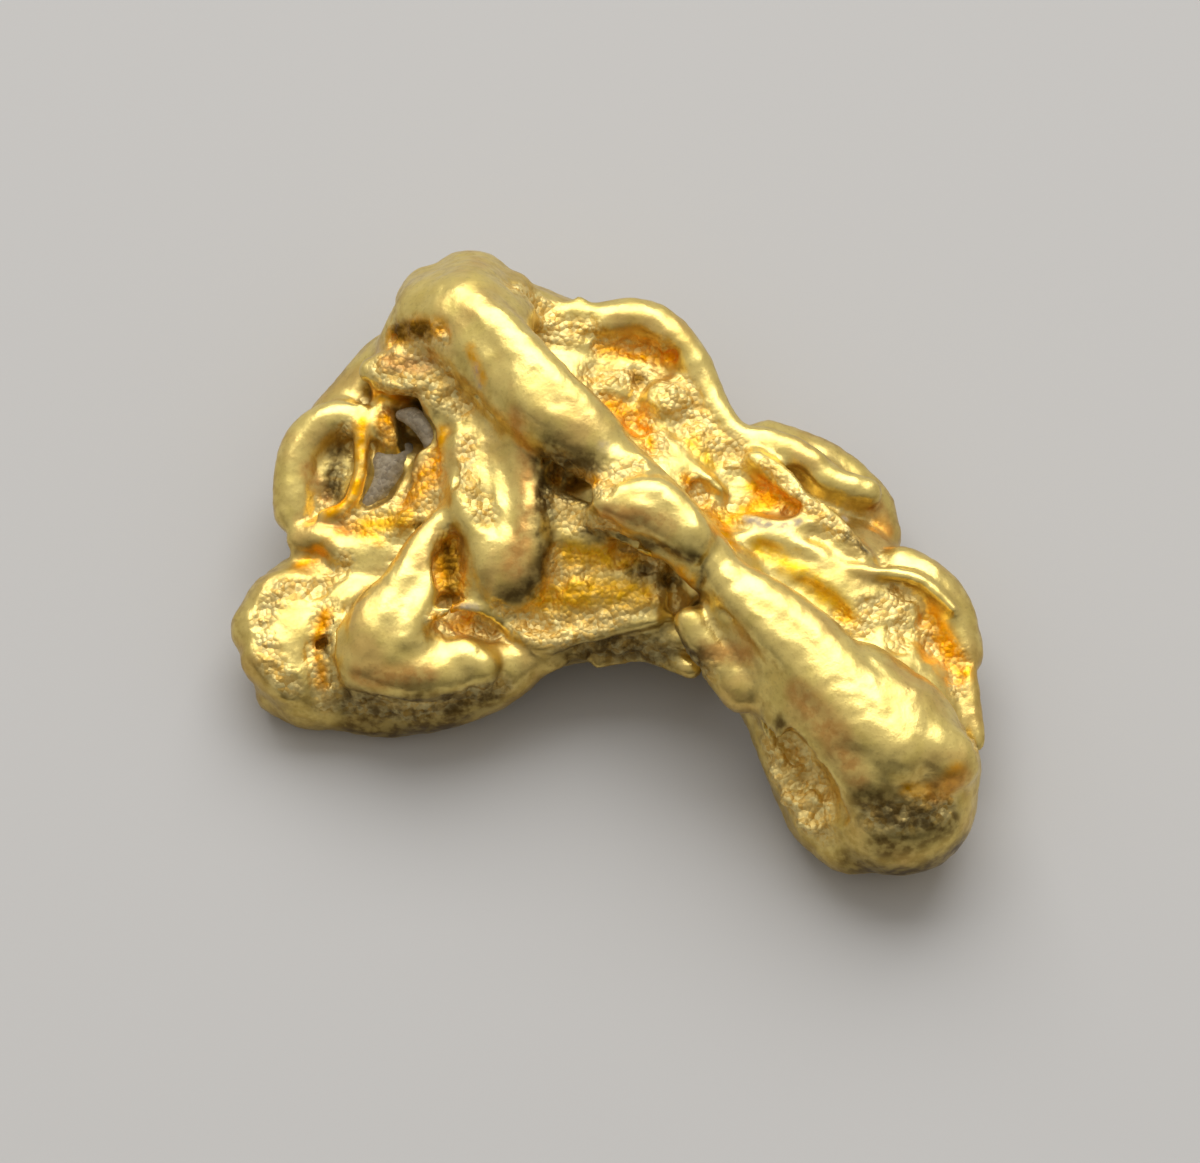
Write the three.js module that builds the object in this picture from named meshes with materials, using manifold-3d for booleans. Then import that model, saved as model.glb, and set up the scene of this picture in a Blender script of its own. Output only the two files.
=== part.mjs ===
// Gold nugget: one natural piece of water-worn gold, with a crumb of grey host rock held in its pocket.
// Millimetres, +Z up. The nugget rests on z = 0 and the origin is under the middle of its box.
// The gold is modelled as rounded strands and knobs grown into one solid, with its pockets cut in afterwards.

import * as THREE from "three";
import { mergeVertices } from "three/addons/utils/BufferGeometryUtils.js";
import Module from "manifold-3d";

const wasm = await Module();
wasm.setup();

// Driving dimensions
const STRAND_SIDES = 10; // facets around a strand
const RINGS_PER_MM = 1.6; // rings along a strand
const MIN_RINGS = 8; // rings of the shortest strand, its round ends included
const END_SHARE = 0.25; // share of a strand's rings that each round end takes
const KNOB_SIDES = 12;
const KNOB_RINGS = 7;
const MERGE_TOLERANCE = 1e-5;
const WORN_DEPTH = 1; // how far down the block reaches that wears the underside flat at z = 0
const BLOCK_SIDE = 20; // wider than the nugget every way

// Strands: each point is [x, y, z, radius], placed along the middle of a ridge, rim or limb.
const SPINE = {
  mainRidge: [[-2.4, 3.9, 2.8, 0.85], [-1.5, 2.65, 3.05, 0.85], [-0.75, 1.65, 3.2, 0.8],
    [-0.15, 1.15, 3.15, 0.6]],
  link: [[-0.2, 1.2, 3.2, 0.55], [0.6, 0.4, 3.2, 0.6], [1.5, -0.6, 3.0, 0.6]],
  secondRidge: [[-0.7, 0.35, 3.0, 0.4], [0.1, 0.15, 3.4, 0.42], [0.75, 0.05, 3.5, 0.45],
    [1.4, -0.5, 3.3, 0.42]],
  rightLimb: [[1.55, -0.95, 2.9, 0.72], [2.35, -1.85, 2.65, 0.95], [3.4, -2.75, 2.05, 1.15],
    [4.5, -3.9, 1.15, 1.3]],
  limbFlank: [[1.25, -1.3, 2.2, 0.35], [1.5, -1.85, 1.7, 0.5], [2.15, -2.55, 1.3, 0.5],
    [2.75, -3.5, 1.0, 0.42], [3.3, -4.35, 0.8, 0.38]],
};

const PLATEAU = {
  base: [[-1.6, 4.2, 1.1, 1.0], [-0.2, 3.55, 1.1, 1.0], [1.0, 2.5, 1.05, 0.95], [2.0, 1.35, 1.05, 1.0]],
  core: [[-2.3, 4.15, 0.95, 1.0], [-0.85, 2.5, 1.3, 1.1], [0.45, 0.95, 1.6, 1.0], [1.7, -0.5, 1.7, 0.9]],
  outerRim: [[-1.15, 4.35, 1.9, 0.42], [-0.2, 4.2, 1.95, 0.42], [0.6, 4.1, 1.9, 0.42], [1.1, 3.65, 1.8, 0.42],
    [1.4, 3.05, 1.8, 0.4], [1.75, 2.5, 1.7, 0.4], [2.1, 2.2, 1.6, 0.4]],
};

const RIGHT_SHOULDER = {
  base: [[2.2, 1.6, 0.9, 0.95], [3.3, 0.6, 0.85, 0.95], [4.4, -0.45, 0.85, 0.9], [5.05, -1.5, 0.8, 0.75]],
  outerRidge: [[2.35, 2.2, 1.6, 0.45], [3.0, 2.0, 1.6, 0.45], [3.6, 1.6, 1.5, 0.45], [3.9, 1.25, 1.4, 0.42]],
  innerRidge: [[2.45, 1.55, 1.8, 0.3], [3.15, 1.0, 1.8, 0.3], [3.8, 0.45, 1.7, 0.3], [4.6, 0.1, 1.5, 0.3]],
  lobe: [[4.6, 0.2, 1.3, 0.42], [5.15, -0.1, 1.3, 0.42], [5.4, -0.65, 1.2, 0.42], [5.45, -1.3, 1.1, 0.42]],
  edge: [[5.6, -1.3, 1.0, 0.25], [5.7, -2.1, 1.0, 0.22], [5.75, -2.85, 1.1, 0.18]],
};

const LEFT_SIDE = {
  shoulder: [[-2.95, 3.75, 2.4, 0.75], [-3.15, 3.45, 2.2, 0.7], [-3.3, 3.0, 1.9, 0.7]],
  rim: [[-3.85, 2.6, 1.9, 0.5], [-4.45, 2.35, 1.8, 0.52], [-4.8, 1.8, 1.7, 0.5],
    [-4.9, 1.1, 1.5, 0.5], [-4.7, 0.6, 1.4, 0.5]],
  base: [[-3.1, 3.1, 0.8, 0.8], [-3.8, 2.05, 0.75, 0.75], [-4.3, 1.0, 0.7, 0.75]],
  pocketRidge: [[-2.75, 2.55, 2.4, 0.4], [-2.65, 1.7, 2.3, 0.38], [-2.65, 0.75, 2.2, 0.35]],
  slope: [[-3.1, 1.7, 1.5, 0.5], [-3.4, 0.75, 1.3, 0.55]],
  saddle: [[-5.0, 0.45, 1.3, 0.45], [-4.2, 0.3, 1.4, 0.45], [-3.4, 0.1, 1.5, 0.5]],
};

const FRONT = {
  toe: [[-5.0, -0.3, 0.85, 0.75], [-5.15, -1.15, 0.78, 0.8], [-4.85, -1.75, 0.62, 0.65]],
  facetRidge: [[-2.85, 0.35, 2.2, 0.4], [-3.3, -0.4, 1.9, 0.6], [-3.55, -1.05, 1.4, 0.78]],
  foot: [[-3.8, -1.45, 0.8, 0.85], [-2.95, -1.7, 0.82, 0.85], [-1.95, -1.65, 1.1, 0.65],
    [-1.0, -1.35, 1.4, 0.35]],
  finger: [[-1.9, 2.25, 2.8, 0.6], [-1.7, 1.2, 2.6, 0.62], [-1.65, 0.3, 2.3, 0.62], [-1.7, -0.3, 2.1, 0.6]],
  fingerBase: [[-1.95, 2.35, 1.3, 0.8], [-1.75, 1.0, 1.1, 0.8], [-1.8, -0.2, 1.1, 0.5]],
  troughFloor: [[-1.15, -0.55, 1.4, 0.45], [-0.2, -0.45, 1.6, 0.45], [1.0, -0.55, 2.1, 0.45]],
  troughRim: [[-1.65, -1.05, 1.6, 0.25], [-0.85, -1.3, 1.5, 0.22], [0.0, -1.05, 1.7, 0.25],
    [0.9, -0.9, 2.1, 0.25]],
  underLayer: [[-0.35, -1.3, 1.1, 0.25], [0.5, -1.3, 1.1, 0.25], [1.4, -1.65, 1.1, 0.3]],
};

// Knobs: the bulk that the strands stand out from.
// Each is a centre, three radii and a turn about the vertical.
const BULK = {
  leftBody: { centre: [-3.6, 1.0, 0.95], radii: [1.45, 1.9, 0.95], turn: 0 },
  upperBody: { centre: [-1.4, 2.9, 1.1], radii: [1.9, 1.7, 1.15], turn: 0 },
  middle: { centre: [0.3, 1.2, 1.2], radii: [1.9, 1.7, 1.1], turn: -35 },
  rightBody: { centre: [3.0, 0.0, 1.0], radii: [2.4, 1.3, 1.0], turn: -38 },
  web: { centre: [4.4, -1.8, 0.95], radii: [1.7, 0.9, 0.8], turn: -50 },
  footBody: { centre: [-4.0, -0.8, 0.85], radii: [1.3, 1.2, 0.9], turn: 0 },
  footWeb: { centre: [-2.4, -0.8, 1.05], radii: [1.2, 0.75, 0.7], turn: 0 },
  arch: { centre: [-0.6, -0.2, 1.5], radii: [1.5, 0.7, 0.5], turn: 0 },
};

// Pockets: hollows worn or left open in the gold, given as the knobs are.
const POCKETS = {
  rockPocket: { centre: [-3.5, 1.8, 2.0], radii: [0.5, 0.9, 0.75], turn: -25 },
  amberPit: { centre: [-2.6, -0.1, 2.0], radii: [0.26, 0.6, 0.75], turn: 5 },
  shoulderPits: { centre: [-3.2, 3.5, 3.05], radii: [0.35, 0.16, 0.25], turn: 0 },
  plateauSlot: { centre: [0.45, 3.6, 2.1], radii: [0.75, 0.25, 0.45], turn: -5 },
  plateauDip: { centre: [0.3, 2.65, 2.2], radii: [0.28, 0.65, 0.5], turn: 12 },
  bladeHollow: { centre: [3.0, -3.8, 1.5], radii: [0.85, 0.32, 0.5], turn: -50 },
  toePit: { centre: [-4.65, -1.05, 1.6], radii: [0.18, 0.3, 0.3], turn: 0 },
  lobeDip: { centre: [5.1, -1.15, 1.75], radii: [0.3, 0.45, 0.4], turn: 20 },
};

const ROCK = { centre: [-3.5, 1.8, 1.62], radii: [0.3, 0.62, 0.2], turn: -25 };

/** A closed solid from a three.js geometry, ready to be joined and cut. */
function solidFrom(geometry) {
  const bare = geometry.clone();
  bare.deleteAttribute("normal");
  bare.deleteAttribute("uv");
  const merged = mergeVertices(bare, MERGE_TOLERANCE);
  const mesh = new wasm.Mesh({
    numProp: 3,
    vertProperties: Float32Array.from(merged.attributes.position.array),
    triVerts: Uint32Array.from(merged.index.array),
  });
  return new wasm.Manifold(mesh);
}

/** The three.js geometry of a joined or cut solid. */
function geometryFrom(solid) {
  const mesh = solid.getMesh();
  const geometry = new THREE.BufferGeometry();
  geometry.setAttribute("position", new THREE.BufferAttribute(Float32Array.from(mesh.vertProperties), 3));
  geometry.setIndex(new THREE.BufferAttribute(Uint32Array.from(mesh.triVerts), 1));
  geometry.computeVertexNormals();
  return geometry;
}

/** Radius at a share of the way along a strand, eased between its points. */
function radiusAt(points, share) {
  const place = share * (points.length - 1);
  const index = Math.min(Math.floor(place), points.length - 2);
  return THREE.MathUtils.lerp(points[index][3], points[index + 1][3], place - index);
}

/** A rounded strand: a sphere drawn out along a smooth curve, whose radius follows the points. */
function strand(points) {
  const places = points.map(([x, y, z]) => new THREE.Vector3(x, y, z));
  const curve = new THREE.CatmullRomCurve3(places, false, "centripetal");
  const rings = Math.max(MIN_RINGS, Math.round(curve.getLength() * RINGS_PER_MM) + 6);
  const geometry = new THREE.SphereGeometry(1, STRAND_SIDES, rings);
  const position = geometry.attributes.position;
  const vertex = new THREE.Vector3();
  for (let i = 0; i < position.count; i += 1) {
    vertex.fromBufferAttribute(position, i);
    const around = Math.atan2(vertex.z, vertex.x);
    const down = Math.acos(THREE.MathUtils.clamp(vertex.y, -1, 1)) / Math.PI;
    placeOnStrand(curve, points, down, around, vertex);
    position.setXYZ(i, vertex.x, vertex.y, vertex.z);
  }
  return solidFrom(geometry);
}

/** Moves one vertex of the sphere to its place on a round end or on the side of the strand. */
function placeOnStrand(curve, points, down, around, vertex) {
  const share = THREE.MathUtils.clamp((down - END_SHARE) / (1 - 2 * END_SHARE), 0, 1);
  const past = down < END_SHARE ? down / END_SHARE - 1 : Math.max(0, (down - 1 + END_SHARE) / END_SHARE);
  const lean = (past * Math.PI) / 2;
  const tangent = curve.getTangent(share);
  const side = new THREE.Vector3().crossVectors(tangent, new THREE.Vector3(0, 0, 1)).normalize();
  const lift = new THREE.Vector3().crossVectors(tangent, side);
  const radius = radiusAt(points, share);
  vertex.copy(curve.getPoint(share));
  vertex.addScaledVector(tangent, Math.sin(lean) * radius);
  vertex.addScaledVector(side, Math.cos(lean) * Math.cos(around) * radius);
  vertex.addScaledVector(lift, Math.cos(lean) * Math.sin(around) * radius);
}

/** A round or oval knob, turned about the vertical by `turn` degrees. */
function knob({ centre: [x, y, z], radii: [a, b, c], turn }) {
  const geometry = new THREE.SphereGeometry(1, KNOB_SIDES, KNOB_RINGS);
  geometry.scale(a, b, c);
  geometry.rotateZ(THREE.MathUtils.degToRad(turn));
  geometry.translate(x, y, z);
  return solidFrom(geometry);
}

/** The block under z = 0. Taking it away leaves the small flat patches that the nugget rests on. */
function wornBlock() {
  const geometry = new THREE.BoxGeometry(BLOCK_SIDE, BLOCK_SIDE, WORN_DEPTH);
  geometry.translate(0, 0, -WORN_DEPTH / 2);
  return solidFrom(geometry);
}

function joined(solids) {
  return solids.reduce((whole, solid) => whole.add(solid));
}

function goldNugget() {
  const groups = [SPINE, PLATEAU, RIGHT_SHOULDER, LEFT_SIDE, FRONT];
  const strands = groups.flatMap((group) => Object.values(group)).map(strand);
  const bulk = Object.values(BULK).map(knob);
  const pockets = Object.values(POCKETS).map(knob);
  return joined([...strands, ...bulk]).subtract(joined(pockets)).subtract(wornBlock());
}

/** The crumb of host rock: an angular lump lying in the rock pocket, clear of its walls. */
function hostRockCrumb() {
  const geometry = new THREE.IcosahedronGeometry(1, 1);
  geometry.scale(...ROCK.radii);
  geometry.rotateZ(THREE.MathUtils.degToRad(ROCK.turn));
  geometry.translate(...ROCK.centre);
  return solidFrom(geometry);
}

function goldMaterial() {
  return new THREE.MeshStandardMaterial({ color: 0xceb467, roughness: 0.35, metalness: 1 });
}

function hostRockMaterial() {
  return new THREE.MeshStandardMaterial({ color: 0x8c8078, roughness: 0.9, metalness: 0 });
}

/** A named piece of the nugget. */
function piece(name, solid, material) {
  const mesh = new THREE.Mesh(geometryFrom(solid), material);
  mesh.name = name;
  return mesh;
}

const group = new THREE.Group();
group.add(piece("gold_nugget", goldNugget(), goldMaterial()));
group.add(piece("host_rock_crumb", hostRockCrumb(), hostRockMaterial()));

export default group;
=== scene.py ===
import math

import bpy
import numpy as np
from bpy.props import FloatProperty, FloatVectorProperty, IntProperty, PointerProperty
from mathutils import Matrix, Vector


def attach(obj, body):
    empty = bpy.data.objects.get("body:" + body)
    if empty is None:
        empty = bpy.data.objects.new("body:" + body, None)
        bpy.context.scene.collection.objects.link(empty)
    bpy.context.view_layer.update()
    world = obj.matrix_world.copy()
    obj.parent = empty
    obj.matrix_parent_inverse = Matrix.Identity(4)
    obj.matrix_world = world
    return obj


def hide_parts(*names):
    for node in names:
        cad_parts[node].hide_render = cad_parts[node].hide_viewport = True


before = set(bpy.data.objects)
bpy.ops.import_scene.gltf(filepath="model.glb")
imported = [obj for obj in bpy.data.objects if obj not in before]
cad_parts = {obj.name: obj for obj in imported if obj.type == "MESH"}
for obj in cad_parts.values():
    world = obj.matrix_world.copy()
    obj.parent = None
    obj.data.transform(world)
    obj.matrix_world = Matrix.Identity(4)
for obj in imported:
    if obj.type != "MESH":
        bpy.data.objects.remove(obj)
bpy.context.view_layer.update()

# A small gold nugget, rolled and rubbed smooth by a river, with a crumb of the grey rock it grew in still
# held in one of its pockets. It is laid out as an add-on: one operator models the gold, one the crumb and
# one sets the stage.
#
# The gold is built up the way it would be in wax: long limbs and full bulk first, then the folds that lie
# over them, then the pockets and creases, then the sandy grain of the places that the river could not reach.
# All of that is done in millimetres, and the finished pieces are brought to metres at the end.

bl_info = {
    "name": "Gold Nugget",
    "version": (1, 0, 0),
    "blender": (4, 5, 0),
    "location": "View3D > Sidebar > Nugget",
    "description": "Models a small river-worn gold nugget with a crumb of its host rock",
    "category": "Add Mesh",
}

MM = 0.001  # metres in a millimetre

# How finely the primitives that everything grows from are divided.
STRAND_BEVEL = 6
STRAND_STEPS = 10
BALL_SIDES = 24
BALL_RINGS = 14
KNOB_SIDES = 40
KNOB_RINGS = 24

# Remesh steps in millimetres while the gold is built up, and how many times each stage is rubbed down.
BODY_STEP = 0.1
FOLD_STEP = 0.08
CUTTER_STEP = 0.05
BODY_RUBS = 4
FOLD_RUBS = 3

# --- The gold's shape, in millimetres ------------------------------------------------------------------
# A strand is a line of points, each (x, y, z, radius). A knob is (centre, half sizes, turn in degrees).
# A zone of a finish is a line of marks, each (x, y, radius), where the line of sight to it meets the bench.

LIMBS = {
    "blade_floor": ((2.75, -3.15, 1, 0.4), (3.05, -3.6, 1, 0.42), (3.25, -4.05, 0.95, 0.46)),
    "toe_sole": ((-5.35, -1.7, 0.45, 0.45), (-4.85, -1.9, 0.5, 0.5)),
    "foot_sole": ((-4.4, -1.85, 0.5, 0.55), (-3.65, -1.95, 0.5, 0.58), (-2.95, -1.9, 0.55, 0.55)),
    "toe_front": ((-5.5, -1.4, 1.1, 0.5), (-5.15, -1.75, 1, 0.5)),
    "foot_front": ((-4, -1.75, 1.6, 0.45), (-3.4, -1.9, 1.6, 0.5), (-2.75, -1.9, 1.55, 0.5),
        (-2.15, -1.7, 1.5, 0.42)),
    "blade_base": ((2.85, -3.5, 0.6, 0.35), (3.25, -4, 0.6, 0.5), (3.8, -4.4, 0.75, 0.62)),
    "limb_broad": ((3.8, -2.65, 2.1, 1), (4.35, -3.15, 1.95, 1.1), (4.8, -3.45, 1.75, 1),
        (5.05, -3.65, 1.65, 0.82)),
    "foot_fill": ((-4, -1.35, 1.4, 0.64), (-3.35, -1.55, 1.5, 0.66), (-2.65, -1.4, 1.3, 0.56)),
    "pocket_side": ((-2.9, 1.75, 1.4, 0.5), (-3.15, 0.95, 1.2, 0.55)),
    "under_wall": ((-1, -1.2, 1.2, 0.42), (-0.05, -1.05, 1.3, 0.45), (0.9, -1.15, 1.4, 0.5)),
    "finger_core": ((-1.95, 2.05, 2.3, 0.55), (-1.85, 1.1, 2.1, 0.52), (-1.75, 0.1, 1.95, 0.48)),
    "left_neck": ((-3.5, 3.5, 1.5, 0.7), (-4, 3.05, 1.35, 0.62), (-4.55, 2.4, 1.2, 0.6),
        (-4.7, 1.55, 1.1, 0.62)),
    "dome_right": ((-1.95, 3.6, 2.95, 0.68), (-1.8, 4.3, 2.15, 0.66)),
    "dome_mid": ((-2.35, 3.75, 3.05, 0.75), (-2.3, 4.55, 2.2, 0.76)),
    "dome_left": ((-2.7, 3.75, 2.85, 0.72), (-2.85, 4.35, 2.15, 0.72)),
    "main_ridge": ((-2.45, 3.65, 3, 0.8), (-1.75, 2.75, 3.15, 0.72), (-1.1, 1.95, 3.2, 0.66),
        (-0.35, 1.4, 3.15, 0.6)),
    "top_bump": ((-2.8, 3.85, 2.7, 0.78), (-2.95, 3.65, 2.4, 0.75)),
    "spine": ((-0.2, 1.25, 3.1, 0.5), (0.6, 0.4, 3.15, 0.5), (1.5, -0.6, 2.95, 0.5)),
    "right_limb": ((1.95, -1.2, 2.6, 0.5), (2.65, -1.9, 2.2, 0.75), (3.5, -2.9, 1.8, 1.08),
        (4.55, -3.9, 1.2, 1.27)),
    "limb_flank": ((1.4, -1.25, 2.2, 0.33), (1.8, -1.55, 1.8, 0.45), (2.4, -2.3, 1.4, 0.45),
        (2.8, -3.25, 1.05, 0.42), (3.3, -4.1, 0.85, 0.4)),
    "plateau_back": ((-1.65, 4.4, 1, 0.95), (-0.2, 3.7, 1, 0.95), (1.05, 2.65, 0.95, 0.9),
        (2.05, 1.45, 0.95, 0.9)),
    "plateau_core": ((-2.3, 4.25, 0.95, 1), (-0.85, 2.55, 1.2, 1), (0.45, 1, 1.5, 0.9),
        (1.7, -0.4, 1.5, 0.85)),
    "shoulder_base": ((2.2, 1.7, 0.8, 0.9), (3.3, 0.65, 0.75, 0.9), (4.45, -0.4, 0.75, 0.85),
        (5.05, -1.45, 0.75, 0.7)),
    "left_shoulder": ((-2.95, 3.75, 2.4, 0.75), (-3.15, 3.5, 2.1, 0.7), (-3.3, 3.1, 1.7, 0.65)),
    "left_base": ((-3.1, 3.1, 0.8, 0.8), (-3.8, 2.05, 0.75, 0.75), (-4.3, 1, 0.7, 0.75)),
    "toe": ((-5, -0.3, 0.85, 0.75), (-5.15, -1.15, 0.8, 0.8), (-4.85, -1.75, 0.6, 0.65)),
    "foot": ((-4.2, -1.5, 0.75, 0.86), (-3.55, -1.6, 0.8, 0.86), (-2.95, -1.7, 0.8, 0.85),
        (-1.95, -1.65, 1.1, 0.65), (-1, -1.35, 1.4, 0.35)),
    "finger_base": ((-1.95, 2.35, 1.3, 0.8), (-1.75, 1, 1.1, 0.8), (-1.8, -0.2, 1, 0.45)),
}

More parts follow.
